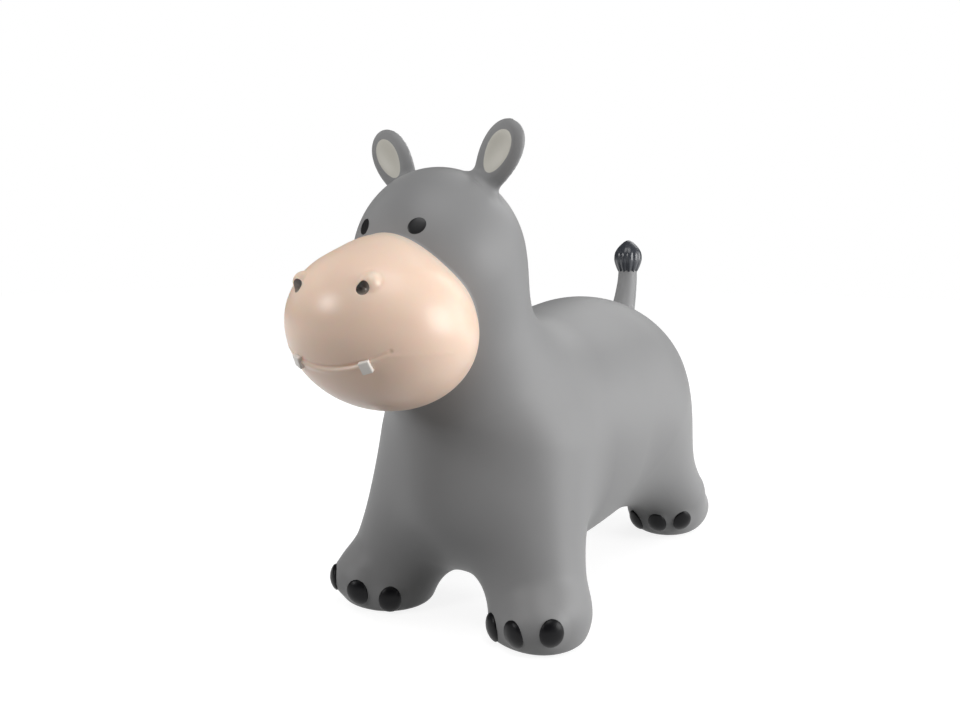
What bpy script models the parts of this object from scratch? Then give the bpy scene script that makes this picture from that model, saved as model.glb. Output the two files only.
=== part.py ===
# Inflatable ride-on hippo, nose towards -Y. Metres, +Z up, +X on the animal's left, origin on the floor.
# The blown skin is one smooth form: rounded masses that flow into each other over a blend width.
import math

import bmesh
import bpy
import numpy as np
from mathutils import Matrix, Vector
from mathutils.bvhtree import BVHTree

# Skin and clearances
WALL = 0.0022
SEAM_GAP = 0.0003
SKIN_GRID = 0.0152
SKIN_KEEP_SHARE = 0.365
MUZZLE_GRID = 0.0100
MUZZLE_KEEP_SHARE = 0.33
OVERRUN = 0.02

# Chest and rump, the two masses of the barrel
CHEST_HALF_WIDTH = 0.0908
CHEST_HALF_LENGTH = 0.1391
CHEST_TOP = 0.2119
CHEST_BOTTOM = 0.0313
CHEST_Y = -0.0246
RUMP_HALF_WIDTH = 0.1228
RUMP_HALF_LENGTH = 0.1482
RUMP_TOP = 0.2897
RUMP_BOTTOM = 0.0517
RUMP_Y = 0.1393
BARREL_BLEND = 0.0946

# Saddle, the mass under the rider that fills the hollow between them
SADDLE_HALF_WIDTH = 0.1012
SADDLE_HALF_LENGTH = 0.1241
SADDLE_HALF_HEIGHT = 0.0952
SADDLE_Y = 0.0191
SADDLE_Z = 0.1763
SADDLE_BLEND = 0.0452

# Neck and head
NECK_BASE_RADIUS = 0.0758
NECK_TOP_RADIUS = 0.065
NECK_BASE_Y = -0.0963
NECK_BASE_Z = 0.2264
HEAD_HALF_WIDTH = 0.070
HEAD_HALF_LENGTH = 0.082
HEAD_HALF_HEIGHT = 0.079
HEAD_Y = -0.141
HEAD_Z = 0.334
NECK_DROP = 0.011
CROWN_BLEND = 0.022
NECK_BLEND = 0.0592

# Muzzle
MUZZLE_HALF_WIDTH = 0.0778
MUZZLE_HALF_LENGTH = 0.0768
MUZZLE_HALF_HEIGHT = 0.0650
MUZZLE_Y = -0.223
MUZZLE_Z = 0.2810
MUZZLE_PITCH = math.radians(-24.4)
BRIDGE_HALF_WIDTH = 0.0587
BRIDGE_HALF_LENGTH = 0.0501
BRIDGE_HALF_HEIGHT = 0.0665
BRIDGE_SETBACK = 0.0011
BRIDGE_RISE = 0.0080
BRIDGE_BLEND = 0.0078

# Legs
FRONT_FOOT_X = 0.0996
FRONT_FOOT_Y = -0.1209
FRONT_FOOT_HALF_WIDTH = 0.0307
FRONT_FOOT_HALF_LENGTH = 0.0413
FRONT_FOOT_HALF_HEIGHT = 0.0284
FRONT_FOOT_Z = 0.0282
FRONT_HIP_X = 0.0545
FRONT_HIP_Y = -0.0775
FRONT_HIP_Z = 0.1515
FRONT_HIP_RADIUS = 0.0428
FRONT_ANKLE_X = 0.0830
FRONT_ANKLE_Y = -0.1106
FRONT_ANKLE_Z = 0.0204
FRONT_ANKLE_RADIUS = 0.0452
REAR_FOOT_X = 0.0753
REAR_FOOT_Y = 0.2423
REAR_FOOT_HALF_WIDTH = 0.0474
REAR_FOOT_HALF_LENGTH = 0.0588
REAR_FOOT_HALF_HEIGHT = 0.0361
REAR_FOOT_Z = 0.0285
REAR_HIP_X = 0.0564
REAR_HIP_Y = 0.1426
REAR_HIP_Z = 0.1403
REAR_HIP_RADIUS = 0.0531
REAR_ANKLE_X = 0.0872
REAR_ANKLE_Y = 0.2201
REAR_ANKLE_Z = 0.0513
REAR_ANKLE_RADIUS = 0.0393
FOOT_BLEND = 0.0140
LEG_BLEND = 0.0494
ARCH_BLEND = 0.0437

# Where the lower legs part from the barrel: a plane that rises outwards and forwards
LEG_SEAM_HEIGHT = 0.056
LEG_SEAM_RISE_OUT_SHARE = 0.28
FRONT_SEAM_RISE_SHARE = 0.25
LEG_SEAM_INNER_X = 0.012
FRONT_SEAM_REACH = 0.1109
REAR_SEAM_REACH = 0.1173

# Where the head parts from the barrel: a plane across the neck, from above and behind the neck's foot
NECK_SEAM_RISE = 0.030
NECK_SEAM_SETBACK = 0.012
NECK_SEAM_REACH = 0.107
NECK_SEAM_TILT = math.radians(24.0)

# Eyes, oval domes that lie on the brow above the head's middle
EYE_X = 0.0254
EYE_RISE = 0.0275
EYE_HALF_WIDTH = 0.0076
EYE_HALF_HEIGHT = 0.0062
EYE_DOME = 0.0012
EYE_TILT = math.radians(38.0)

# Nostrils: a raised collar on the muzzle, above its middle, with a dark cup in it
NOSTRIL_X = 0.0316
NOSTRIL_RISE = 0.0355
NOSTRIL_BOSS_RADIUS = 0.0125
NOSTRIL_BOSS_OUT = -0.0013
NOSTRIL_BOSS_BACK = 0.0115
NOSTRIL_BOSS_BLEND = 0.010
NOSTRIL_CUP_RADIUS = 0.0058
NOSTRIL_CUP_WALL = 0.0011
NOSTRIL_CUP_DEPTH = 0.0075
NOSTRIL_CUP_SETBACK = 0.0008
NOSTRIL_SPLAY_SHARE = 0.35
NOSTRIL_LIFT_SHARE = 0.25

# Mouth: a moulded groove round the front of the muzzle, below its middle
MOUTH_DROP = 0.0235
MOUTH_END_X = 0.050
MOUTH_END_RISE = 0.013
MOUTH_GROOVE_RADIUS = 0.0011
MOUTH_STEPS = 20

# Tusks, square blocks that hang from the mouth line
TUSK_X = 0.0320
TUSK_TOP_RISE = 0.0010
TUSK_WIDTH = 0.0085
TUSK_HEIGHT = 0.0100
TUSK_DEPTH = 0.0036
TUSK_ROUND = 0.0010
TUSK_TILT = math.radians(18.0)

# Toenails, ovals moulded on the front of each foot
NAIL_HALF_WIDTH = 0.0107
NAIL_HALF_HEIGHT = 0.0136
NAIL_DOME = 0.0032
# Place across from the foot's middle and up from the floor, as shares of the foot's half width and half height
FRONT_NAIL_SHARES = (
    ("inner", -1.404, 0.528),
    ("middle", -0.466, 0.718),
    ("outer", 0.606, 0.954),
)
REAR_NAIL_SHARES = (
    ("inner", -0.449, 0.535),
    ("middle", 0.173, 0.651),
    ("outer", 0.722, 0.756),
)

# Ears, each on a root that rolls in the crown
EAR_PIVOT_X = 0.0407
EAR_SETBACK = 0.0061
EAR_TILT = math.radians(31.0)
EAR_LENGTH = 0.0557
EAR_HALF_WIDTH = 0.0193
EAR_HALF_THICKNESS = 0.0078
EAR_ROOT_RADIUS = 0.0078
EAR_ROOT_HALF_WIDTH = 0.0112
EAR_ROOT_LIFT = 0.0022
EAR_CUP_HALF_WIDTH = 0.0174
EAR_CUP_HALF_HEIGHT = 0.0318
EAR_CUP_DEPTH = 0.0022
EAR_CUP_HEIGHT_SHARE = 0.504
EAR_LINING_THICKNESS = 0.0012
# Station along the ear, then its half width and half thickness, as shares of the ear's own
EAR_SHARES = (
    (0.00, 0.67, 0.69),
    (0.10, 0.79, 0.79),
    (0.24, 0.91, 0.88),
    (0.40, 0.99, 0.96),
    (0.56, 1.00, 1.00),
    (0.70, 0.93, 0.96),
    (0.82, 0.80, 0.84),
    (0.91, 0.60, 0.65),
    (0.97, 0.36, 0.39),
)

# Tail, on a ball that turns in the rump behind its middle
TAIL_SETBACK = 0.1177
TAIL_BALL_RADIUS = 0.0150
TAIL_BALL_LIFT = 0.0020
TAIL_BASE_RADIUS = 0.0138
TAIL_TOP_RADIUS = 0.0105
TAIL_REACH = 0.0205
TAIL_RISE = 0.0720
TAIL_BEND_SHARE = 0.62
TAIL_SPIGOT_RADIUS = 0.0065
TAIL_SPIGOT_LENGTH = 0.0100
TUFT_RADIUS = 0.0176
TUFT_HEIGHT = 0.0420
TUFT_FLUTES = 11
TUFT_FLUTE_DEPTH_SHARE = 0.10
# Height up the tuft and its radius, then how much of the flutes shows there, all as shares
TUFT_SHARES = (
    (0.00, 0.66, 0.30),
    (0.10, 0.80, 0.70),
    (0.24, 0.95, 1.00),
    (0.40, 1.00, 1.00),
    (0.56, 0.93, 0.95),
    (0.72, 0.72, 0.80),
    (0.86, 0.42, 0.50),
    (0.96, 0.16, 0.20),
)

# Air valve in the belly behind the chest's middle, and its plug
VALVE_SETBACK = 0.0296
VALVE_NECK_RADIUS = 0.0080
VALVE_FLANGE_RADIUS = 0.0120
VALVE_FLANGE_THICKNESS = 0.0018
VALVE_FLANGE_LIFT = 0.0003
VALVE_LENGTH = 0.0120
VALVE_BORE_RADIUS = 0.0038
PLUG_CLEARANCE = 0.0002
PLUG_CAP_RADIUS = 0.0065
PLUG_CAP_THICKNESS = 0.0016
PLUG_TIP_RADIUS = 0.0030
VALVE_TUBE_RADIUS = 0.0058

# Counts of facets
ROUND_STEPS = 24
SMALL_STEPS = 16
OVAL_STEPS = 12
SETTLE_ROUNDS = 24
LAND_ROUNDS = 6
TUBE_SIDES = 6
TAPER_BALLS = 9
PROBE = 0.0001
LONGEST_STEP = 0.006
MERGE_DISTANCE = 0.000002
REACH = 0.6
TINY = 1e-9

GREY = (0.335, 0.335, 0.34, 1.0)
PEACH = (0.86, 0.68, 0.56, 1.0)
CREAM = (0.58, 0.56, 0.50, 1.0)
BLACK = (0.012, 0.012, 0.013, 1.0)
CHARCOAL = (0.045, 0.048, 0.055, 1.0)
WHITE = (0.80, 0.77, 0.72, 1.0)
VALVE_WHITE = (0.72, 0.72, 0.70, 1.0)


FRONT_LEG = {
    "foot": (FRONT_FOOT_X, FRONT_FOOT_Y, FRONT_FOOT_Z),
    "foot_radii": (FRONT_FOOT_HALF_WIDTH, FRONT_FOOT_HALF_LENGTH, FRONT_FOOT_HALF_HEIGHT),
    "hip": (FRONT_HIP_X, FRONT_HIP_Y, FRONT_HIP_Z),
    "hip_radius": FRONT_HIP_RADIUS,
    "ankle": (FRONT_ANKLE_X, FRONT_ANKLE_Y, FRONT_ANKLE_Z),
    "ankle_radius": FRONT_ANKLE_RADIUS,
}
REAR_LEG = {
    "foot": (REAR_FOOT_X, REAR_FOOT_Y, REAR_FOOT_Z),
    "foot_radii": (REAR_FOOT_HALF_WIDTH, REAR_FOOT_HALF_LENGTH, REAR_FOOT_HALF_HEIGHT),
    "hip": (REAR_HIP_X, REAR_HIP_Y, REAR_HIP_Z),
    "hip_radius": REAR_HIP_RADIUS,
    "ankle": (REAR_ANKLE_X, REAR_ANKLE_Y, REAR_ANKLE_Z),
    "ankle_radius": REAR_ANKLE_RADIUS,
}
CHEST_CENTRE = (0.0, CHEST_Y, (CHEST_TOP + CHEST_BOTTOM) / 2)
CHEST_RADII = (CHEST_HALF_WIDTH, CHEST_HALF_LENGTH, (CHEST_TOP - CHEST_BOTTOM) / 2)
RUMP_CENTRE = (0.0, RUMP_Y, (RUMP_TOP + RUMP_BOTTOM) / 2)
RUMP_RADII = (RUMP_HALF_WIDTH, RUMP_HALF_LENGTH, (RUMP_TOP - RUMP_BOTTOM) / 2)
SADDLE_CENTRE = (0.0, SADDLE_Y, SADDLE_Z)
SADDLE_RADII = (SADDLE_HALF_WIDTH, SADDLE_HALF_LENGTH, SADDLE_HALF_HEIGHT)
NECK_BASE = (0.0, NECK_BASE_Y, NECK_BASE_Z)
NECK_TOP = (0.0, HEAD_Y, HEAD_Z - NECK_DROP)
HEAD_CENTRE = (0.0, HEAD_Y, HEAD_Z)
HEAD_RADII = (HEAD_HALF_WIDTH, HEAD_HALF_LENGTH, HEAD_HALF_HEIGHT)
MUZZLE_CENTRE = (0.0, MUZZLE_Y, MUZZLE_Z)
MUZZLE_RADII = (MUZZLE_HALF_WIDTH, MUZZLE_HALF_LENGTH, MUZZLE_HALF_HEIGHT)
BRIDGE_CENTRE = (0.0, MUZZLE_Y + BRIDGE_SETBACK, MUZZLE_Z + BRIDGE_RISE)
BRIDGE_RADII = (BRIDGE_HALF_WIDTH, BRIDGE_HALF_LENGTH, BRIDGE_HALF_HEIGHT)
VALVE_Y = CHEST_Y + VALVE_SETBACK


# A Principled material of the given name, made once
def finish(name, colour, roughness):
    material = bpy.data.materials.get(name)
    if material is None:
        material = bpy.data.materials.new(name)
        material.use_nodes = True
        shader = material.node_tree.nodes["Principled BSDF"]
        shader.inputs["Base Color"].default_value = colour
        shader.inputs["Roughness"].default_value = roughness
        shader.inputs["Metallic"].default_value = 0.0
    return material


# Distance from a rounded mass: below zero inside it, zero on its surface
def ellipsoid(points, centre, radii, pitch=0.0):
    local = points - np.array(centre)
    cosine, sine = math.cos(pitch), math.sin(pitch)
    local = np.stack([
        local[:, 0],
        local[:, 1] * cosine + local[:, 2] * sine,
        local[:, 2] * cosine - local[:, 1] * sine,
    ], axis=1)
    radii = np.array(radii)
    near = np.linalg.norm(local / radii, axis=1)
    slope_size = np.linalg.norm(local / radii ** 2, axis=1) + TINY
    return near * (near - 1) / slope_size


# Distance from a round limb that tapers from one ball to another
def taper(points, start, end, start_radius, end_radius):
    start = np.array(start)
    run = np.array(end) - start
    along = np.clip((points - start) @ run / (run @ run), 0.0, 1.0)
    from_axis = np.linalg.norm(points - start - np.outer(along, run), axis=1)
    return from_axis - (start_radius + (end_radius - start_radius) * along)


# Two masses that flow into each other where they lie within the blend width
def blend(first, second, width):
    near = np.maximum(width - np.abs(first - second), 0.0) / width
    return np.minimum(first, second) - near ** 2 * width / 4


def leg_form(points, leg):
    limb = taper(points, leg["hip"], leg["ankle"], leg["hip_radius"], leg["ankle_radius"])
    return blend(limb, ellipsoid(points, leg["foot"], leg["foot_radii"]), FOOT_BLEND)


# The whole grey skin: barrel, neck, crown and four legs
def body_form(points):
    mirrored = points * np.array((-1.0, 1.0, 1.0))
    barrel = blend(ellipsoid(points, CHEST_CENTRE, CHEST_RADII),
                   ellipsoid(points, RUMP_CENTRE, RUMP_RADII), BARREL_BLEND)
    barrel = blend(barrel, ellipsoid(points, SADDLE_CENTRE, SADDLE_RADII), SADDLE_BLEND)
    crown = blend(ellipsoid(points, HEAD_CENTRE, HEAD_RADII),
                  taper(points, NECK_BASE, NECK_TOP, NECK_BASE_RADIUS, NECK_TOP_RADIUS), CROWN_BLEND)
    body = blend(barrel, crown, NECK_BLEND)
    for leg in (FRONT_LEG, REAR_LEG):
        pair = blend(leg_form(points, leg), leg_form(mirrored, leg), ARCH_BLEND)
        body = blend(body, pair, LEG_BLEND)
    return body


# The muzzle without its collars: a tilted mass and an upright one that fills out its bridge
def plain_muzzle_form(points):
    return blend(ellipsoid(points, MUZZLE_CENTRE, MUZZLE_RADII, MUZZLE_PITCH),
                 ellipsoid(points, BRIDGE_CENTRE, BRIDGE_RADII), BRIDGE_BLEND)


# Slope of a form at each point, which is the way out of its surface
def slope(form, points):
    result = np.empty_like(points)
    for axis in range(3):
        offset = np.zeros(3)
        offset[axis] = PROBE
        result[:, axis] = (form(points + offset) - form(points - offset)) / (2 * PROBE)
    return result


# Moves points along the slope until the form has the given level there
def land(form, points, level=0.0, rounds=LAND_ROUNDS):
    for _ in range(rounds):
        way = slope(form, points)
        size = np.maximum((way ** 2).sum(axis=1), TINY)
        step = np.clip((form(points) - level) / size, -LONGEST_STEP, LONGEST_STEP)
        points = points - way * step[:, None]
    return points


# The place where a straight line first meets a form, and the way out of the surface there
def meet(form, start, direction):
    direction = Vector(direction).normalized()
    place = Vector(start)
    for _ in range(ROUND_STEPS * 4):
        place = place + direction * float(form(np.array([place]))[0])
    return place, Vector(slope(form, np.array([place]))[0]).normalized()


def nostril_seat(side):
    return meet(plain_muzzle_form, (side * NOSTRIL_X, -REACH, MUZZLE_Z + NOSTRIL_RISE), (0.0, 1.0, 0.0))[0]


def nostril_boss(side):
    return nostril_seat(side) + Vector((side * NOSTRIL_BOSS_OUT, NOSTRIL_BOSS_BACK, 0.0))


BOSS_CENTRE = tuple(nostril_boss(1))
BOSS_RADII = (NOSTRIL_BOSS_RADIUS, NOSTRIL_BOSS_RADIUS, NOSTRIL_BOSS_RADIUS)


# The peach muzzle with its two nostril collars
def muzzle_form(points):
    beside = np.array(points)
    beside[:, 0] = np.abs(beside[:, 0])
    return blend(plain_muzzle_form(points), ellipsoid(beside, BOSS_CENTRE, BOSS_RADII), NOSTRIL_BOSS_BLEND)


def mesh_object(name, bm):
    mesh = bpy.data.meshes.new(name)
    bm.normal_update()
    bm.to_mesh(mesh)
    bm.free()
    item = bpy.data.objects.new(name, mesh)
    bpy.context.collection.objects.link(item)
    return item


# The mesh as the object's modifiers leave it
def shaped_mesh(item):
    bpy.context.view_layer.update()
    graph = bpy.context.evaluated_depsgraph_get()
    return bpy.data.meshes.new_from_object(item.evaluated_get(graph))


def add_ball(bm, centre, radii, pitch=0.0, steps=ROUND_STEPS):
    place = Matrix.Translation(centre) @ Matrix.Rotation(pitch, 4, "X") @ Matrix.Diagonal((*radii, 1.0))
    bmesh.ops.create_uvsphere(bm, u_segments=steps, v_segments=steps // 2, radius=1.0, matrix=place)


def add_taper(bm, start, end, start_radius, end_radius, side=1):
    for share in np.linspace(0.0, 1.0, TAPER_BALLS):
        centre = Vector(start).lerp(Vector(end), share)
        centre.x *= side
        radius = start_radius + (end_radius - start_radius) * share
        add_ball(bm, centre, (radius, radius, radius), steps=SMALL_STEPS)


# Overlapping balls for the masses, which a remesh joins into one surface to settle on the form
def rough_body():
    bm = bmesh.new()
    add_ball(bm, CHEST_CENTRE, CHEST_RADII)
    add_ball(bm, RUMP_CENTRE, RUMP_RADII)
    add_ball(bm, SADDLE_CENTRE, SADDLE_RADII)
    add_ball(bm, HEAD_CENTRE, HEAD_RADII)
    add_taper(bm, NECK_BASE, NECK_TOP, NECK_BASE_RADIUS, NECK_TOP_RADIUS)
    for leg in (FRONT_LEG, REAR_LEG):
        for side in (1, -1):
            add_taper(bm, leg["hip"], leg["ankle"], leg["hip_radius"], leg["ankle_radius"], side)
            foot = Vector(leg["foot"])
            foot.x *= side
            add_ball(bm, foot, leg["foot_radii"])
    return bm


def rough_muzzle():
    bm = bmesh.new()
    add_ball(bm, MUZZLE_CENTRE, MUZZLE_RADII, MUZZLE_PITCH)
    add_ball(bm, BRIDGE_CENTRE, BRIDGE_RADII)
    for side in (1, -1):
        add_ball(bm, nostril_boss(side), BOSS_RADII)
    return bm


# Takes a bmesh apart into its points, the pairs that its edges join, and its faces
def read_bmesh(bm):
    bm.verts.ensure_lookup_table()
    bm.verts.index_update()
    points = np.array([vert.co for vert in bm.verts])
    pairs = np.array([[vert.index for vert in edge.verts] for edge in bm.edges])
    faces = [[vert.index for vert in face.verts] for face in bm.faces]
    bm.free()
    return points, pairs, faces


# A surface on a form, the same on both sides of the middle and coarser where it is flatter
def settled_surface(name, rough, form, grid, keep_share):
    guide = mesh_object(name + "_guide", rough)
    remesh = guide.modifiers.new("Remesh", "REMESH")
    remesh.mode = "VOXEL"
    remesh.voxel_size = grid
    mesh = shaped_mesh(guide)
    bpy.data.objects.remove(guide, do_unlink=True)
    bm = bmesh.new()
    bm.from_mesh(mesh)
    bmesh.ops.bisect_plane(bm, geom=bm.verts[:] + bm.edges[:] + bm.faces[:], dist=grid / ROUND_STEPS,
                           plane_co=(0.0, 0.0, 0.0), plane_no=(1.0, 0.0, 0.0), clear_inner=True)
    bmesh.ops.remove_doubles(bm, verts=bm.verts, dist=grid / SMALL_STEPS)
    bmesh.ops.mirror(bm, geom=bm.verts[:] + bm.edges[:] + bm.faces[:], axis="X", merge_dist=MERGE_DISTANCE)
    bmesh.ops.holes_fill(bm, edges=[edge for edge in bm.edges if edge.is_boundary], sides=0)
    bmesh.ops.recalc_face_normals(bm, faces=bm.faces)
    points, pairs, faces = read_bmesh(bm)
    count = np.zeros(len(points))
    for column in (0, 1):
        np.add.at(count, pairs[:, column], 1)
    for _ in range(SETTLE_ROUNDS):
        total = np.zeros_like(points)
        np.add.at(total, pairs[:, 0], points[pairs[:, 1]])
        np.add.at(total, pairs[:, 1], points[pairs[:, 0]])
        points = (points + total / count[:, None]) / 2
        points = land(form, points, rounds=1)
    even = mesh_object(name + "_even", surface_bmesh(points, faces))
    thin = even.modifiers.new("Decimate", "DECIMATE")
    thin.ratio = keep_share
    thin.use_symmetry = True
    thin.symmetry_axis = "X"
    thinned = bmesh.new()
    thinned.from_mesh(shaped_mesh(even))
    bpy.data.objects.remove(even, do_unlink=True)
    points, _, faces = read_bmesh(thinned)
    return land(form, points), faces


# The surface at a level, as a closed bmesh; its underside is cut flat at the floor height, if one is given
def surface_bmesh(points, faces, floor=None):
    bm = bmesh.new()
    verts = [bm.verts.new(point) for point in points]
    for face in faces:
        bm.faces.new([verts[index] for index in face])
    if floor is not None:
        cut = bmesh.ops.bisect_plane(bm, geom=bm.verts[:] + bm.edges[:] + bm.faces[:],
                                     plane_co=(0.0, 0.0, floor), plane_no=(0.0, 0.0, 1.0), clear_inner=True)
        rim = [part for part in cut["geom_cut"] if isinstance(part, bmesh.types.BMEdge)]
        bmesh.ops.holes_fill(bm, edges=rim, sides=0)
    bmesh.ops.triangulate(bm, faces=bm.faces[:])
    return bm


# A skin of the wall's thickness under the surface, still closed all round
def skin_bmesh(outer, inner, faces, outer_floor=None, inner_floor=None):
    bm = surface_bmesh(outer, faces, outer_floor)
    hollow = surface_bmesh(inner, faces, inner_floor)
    bmesh.ops.reverse_faces(hollow, faces=hollow.faces[:])
    mesh = bpy.data.meshes.new("hollow")
    hollow.to_mesh(mesh)
    hollow.free()
    bm.from_mesh(mesh)
    return bm


# A closed body through a row of rings that all have as many points
def loft_bmesh(rings, tip=None):
    bm = bmesh.new()
    rows = [[bm.verts.new(point) for point in ring] for ring in rings]
    steps = len(rows[0])
    for low, high in zip(rows, rows[1:]):
        for index in range(steps):
            after = (index + 1) % steps
            bm.faces.new((low[index], low[after], high[after], high[index]))
    bm.faces.new(rows[0][::-1])
    if tip is None:
        bm.faces.new(rows[-1])
    else:
        top = bm.verts.new(tip)
        for index in range(steps):
            bm.faces.new((rows[-1][index], rows[-1][(index + 1) % steps], top))
    bmesh.ops.recalc_face_normals(bm, faces=bm.faces)
    return bm


def ring(centre, across, along, steps=SMALL_STEPS):
    angles = [2 * math.pi * index / steps for index in range(steps)]
    return [Vector(centre) + Vector(across) * math.cos(angle) + Vector(along) * math.sin(angle)
            for angle in angles]


# A turned body: the profile's radii and heights round an axis that starts at a place
def turned_bmesh(place, axis, profile, steps=SMALL_STEPS):
    axis = Vector(axis).normalized()
    across = axis.orthogonal().normalized()
    along = axis.cross(across)
    rings = [ring(Vector(place) + axis * height, across * radius, along * radius, steps)
             for radius, height in profile]
    return loft_bmesh(rings)


def cut(item, cutter_bmesh, operation="DIFFERENCE"):
    cutter = mesh_object(item.name + "_cutter", cutter_bmesh)
    change = item.modifiers.new("Cut", "BOOLEAN")
    change.operation = operation
    change.solver = "EXACT"
    change.object = cutter
    mesh = shaped_mesh(item)
    item.modifiers.clear()
    item.data = mesh
    bpy.data.objects.remove(cutter, do_unlink=True)


# Cleans a finished solid, gives it its material and shades it smooth but for its rims
def complete(item, material, crease=math.radians(40.0)):
    bm = bmesh.new()
    bm.from_mesh(item.data)
    bmesh.ops.triangulate(bm, faces=bm.faces[:])
    bmesh.ops.remove_doubles(bm, verts=bm.verts, dist=MERGE_DISTANCE)
    bmesh.ops.dissolve_degenerate(bm, edges=bm.edges, dist=MERGE_DISTANCE)
    bmesh.ops.triangulate(bm, faces=bm.faces[:])
    bm.to_mesh(item.data)
    bm.free()
    item.data.materials.clear()
    item.data.materials.append(material)
    item.data.shade_smooth()
    item.data.set_sharp_from_angle(angle=crease)
    return item


def box_bmesh(corners_low, corners_high):
    bm = bmesh.new()
    low = [bm.verts.new(point) for point in corners_low]
    high = [bm.verts.new(point) for point in corners_high]
    bm.faces.new(low[::-1])
    bm.faces.new(high)
    for index in range(4):
        after = (index + 1) % 4
        bm.faces.new((low[index], low[after], high[after], high[index]))
    bmesh.ops.recalc_face_normals(bm, faces=bm.faces)
    return bm


# Everything below a lower leg's seam plane, raised by a lift
def leg_region(leg, side, rise_forward, front_y, rear_y, lift=0.0):
    ankle_x, ankle_y = leg["ankle"][0], leg["ankle"][1]
    outer_x = leg["foot"][0] + leg["foot_radii"][0] + OVERRUN
    floor, roof = [], []
    for x, y in ((LEG_SEAM_INNER_X, front_y), (outer_x, front_y),
                 (outer_x, rear_y), (LEG_SEAM_INNER_X, rear_y)):
        height = (LEG_SEAM_HEIGHT + (x - ankle_x) * LEG_SEAM_RISE_OUT_SHARE - (y - ankle_y) * rise_forward)
        floor.append((x * side, y, -OVERRUN))
        roof.append((x * side, y, height + lift))
    return box_bmesh(floor, roof)


def front_region(side, lift=0.0):
    front_y = FRONT_FOOT_Y - FRONT_FOOT_HALF_LENGTH * 2
    rear_y = FRONT_FOOT_Y + FRONT_SEAM_REACH
    return leg_region(FRONT_LEG, side, FRONT_SEAM_RISE_SHARE, front_y, rear_y, lift)


def rear_region(side, lift=0.0):
    rear_y = REAR_FOOT_Y + REAR_FOOT_HALF_LENGTH * 2
    return leg_region(REAR_LEG, side, 0.0, REAR_FOOT_Y - REAR_SEAM_REACH, rear_y, lift)


# Everything above the neck seam, moved down by a lift
def head_region(lift=0.0):
    rise = math.tan(NECK_SEAM_TILT)
    front_y = HEAD_Y - REACH / 2
    top = HEAD_Z + HEAD_HALF_HEIGHT + OVERRUN
    rear_y = NECK_BASE_Y + NECK_SEAM_REACH
    half = HEAD_HALF_WIDTH + NECK_BASE_RADIUS
    floor = [(x, y, NECK_BASE_Z + NECK_SEAM_RISE + (y - NECK_BASE_Y - NECK_SEAM_SETBACK) * rise - lift)
             for x, y in ((-half, front_y), (half, front_y), (half, rear_y), (-half, rear_y))]
    roof = [(x, y, top) for x, y, _ in floor]
    return box_bmesh(floor, roof)


# A flat oval dome on a surface, with its middle at a place and its axis along the way out
def oval_bmesh(place, out, half_width, half_height, dome, tilt=0.0, sink=0.0):
    out = Vector(out).normalized()
    across = out.cross(Vector((0.0, 0.0, 1.0))).normalized()
    across = Matrix.Rotation(tilt, 3, out) @ across
    along = out.cross(across)
    turn = Matrix((across, along, out)).transposed().to_4x4()
    bm = bmesh.new()
    size = Matrix.Diagonal((half_width, half_height, dome, 1.0))
    bmesh.ops.create_uvsphere(bm, u_segments=OVAL_STEPS, v_segments=OVAL_STEPS // 2, radius=1.0,
                              matrix=Matrix.Translation(Vector(place) - out * sink) @ turn @ size)
    return bm


# A tube of a few sides along a row of points
def tube_bmesh(points, radius, sides=TUBE_SIDES):
    rings = []
    for index, point in enumerate(points):
        before = points[max(index - 1, 0)]
        after = points[min(index + 1, len(points) - 1)]
        way = (after - before).normalized()
        across = way.cross(Vector((0.0, 0.0, 1.0))).normalized()
        rings.append(ring(point, across * radius, way.cross(across) * radius, sides))
    return loft_bmesh(rings)


# The surfaces that the skins and the pieces on them share
def build_surfaces():
    points, faces = settled_surface("body", rough_body(), body_form, SKIN_GRID, SKIN_KEEP_SHARE)
    body = {
        "faces": faces,
        "outer": points,
        "inner": land(body_form, points - slope(body_form, points) * WALL, -WALL),
        "clear": land(body_form, points, SEAM_GAP),
    }
    points, faces = settled_surface("muzzle", rough_muzzle(), muzzle_form, MUZZLE_GRID, MUZZLE_KEEP_SHARE)
    muzzle = {
        "faces": faces,
        "outer": points,
        "inner": land(muzzle_form, points - slope(muzzle_form, points) * WALL, -WALL),
        "clear": land(muzzle_form, points, SEAM_GAP),
    }
    return body, muzzle


def clear_of(surface):
    return surface_bmesh(surface["clear"], surface["faces"])


# A place on the mouth line, which rises from the middle of the muzzle towards its ends
def mouth_place(x):
    height = MUZZLE_Z - MOUTH_DROP + MOUTH_END_RISE * (x / MOUTH_END_X) ** 2
    return meet(muzzle_form, (x, -REACH, height), (0.0, 1.0, 0.0))


def nostril_mouth(side):
    way_out = Vector((side * NOSTRIL_SPLAY_SHARE, -1.0, NOSTRIL_LIFT_SHARE)).normalized()
    seat = nostril_seat(side)
    return meet(muzzle_form, seat + way_out * REACH / 2, -way_out)[0], way_out


def ear_frame(side):
    start = Vector((side * EAR_PIVOT_X, HEAD_Y + EAR_SETBACK, HEAD_Z + HEAD_HALF_HEIGHT + OVERRUN))
    seat, out = meet(body_form, start, (0.0, 0.0, -1.0))
    flat_out = Vector((out.x, 0.0, out.z)).normalized()
    pivot = seat + flat_out * EAR_ROOT_LIFT
    roll = Vector((flat_out.z, 0.0, -flat_out.x))
    along = Vector((side * math.sin(EAR_TILT), 0.0, math.cos(EAR_TILT)))
    return pivot, roll, along


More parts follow.
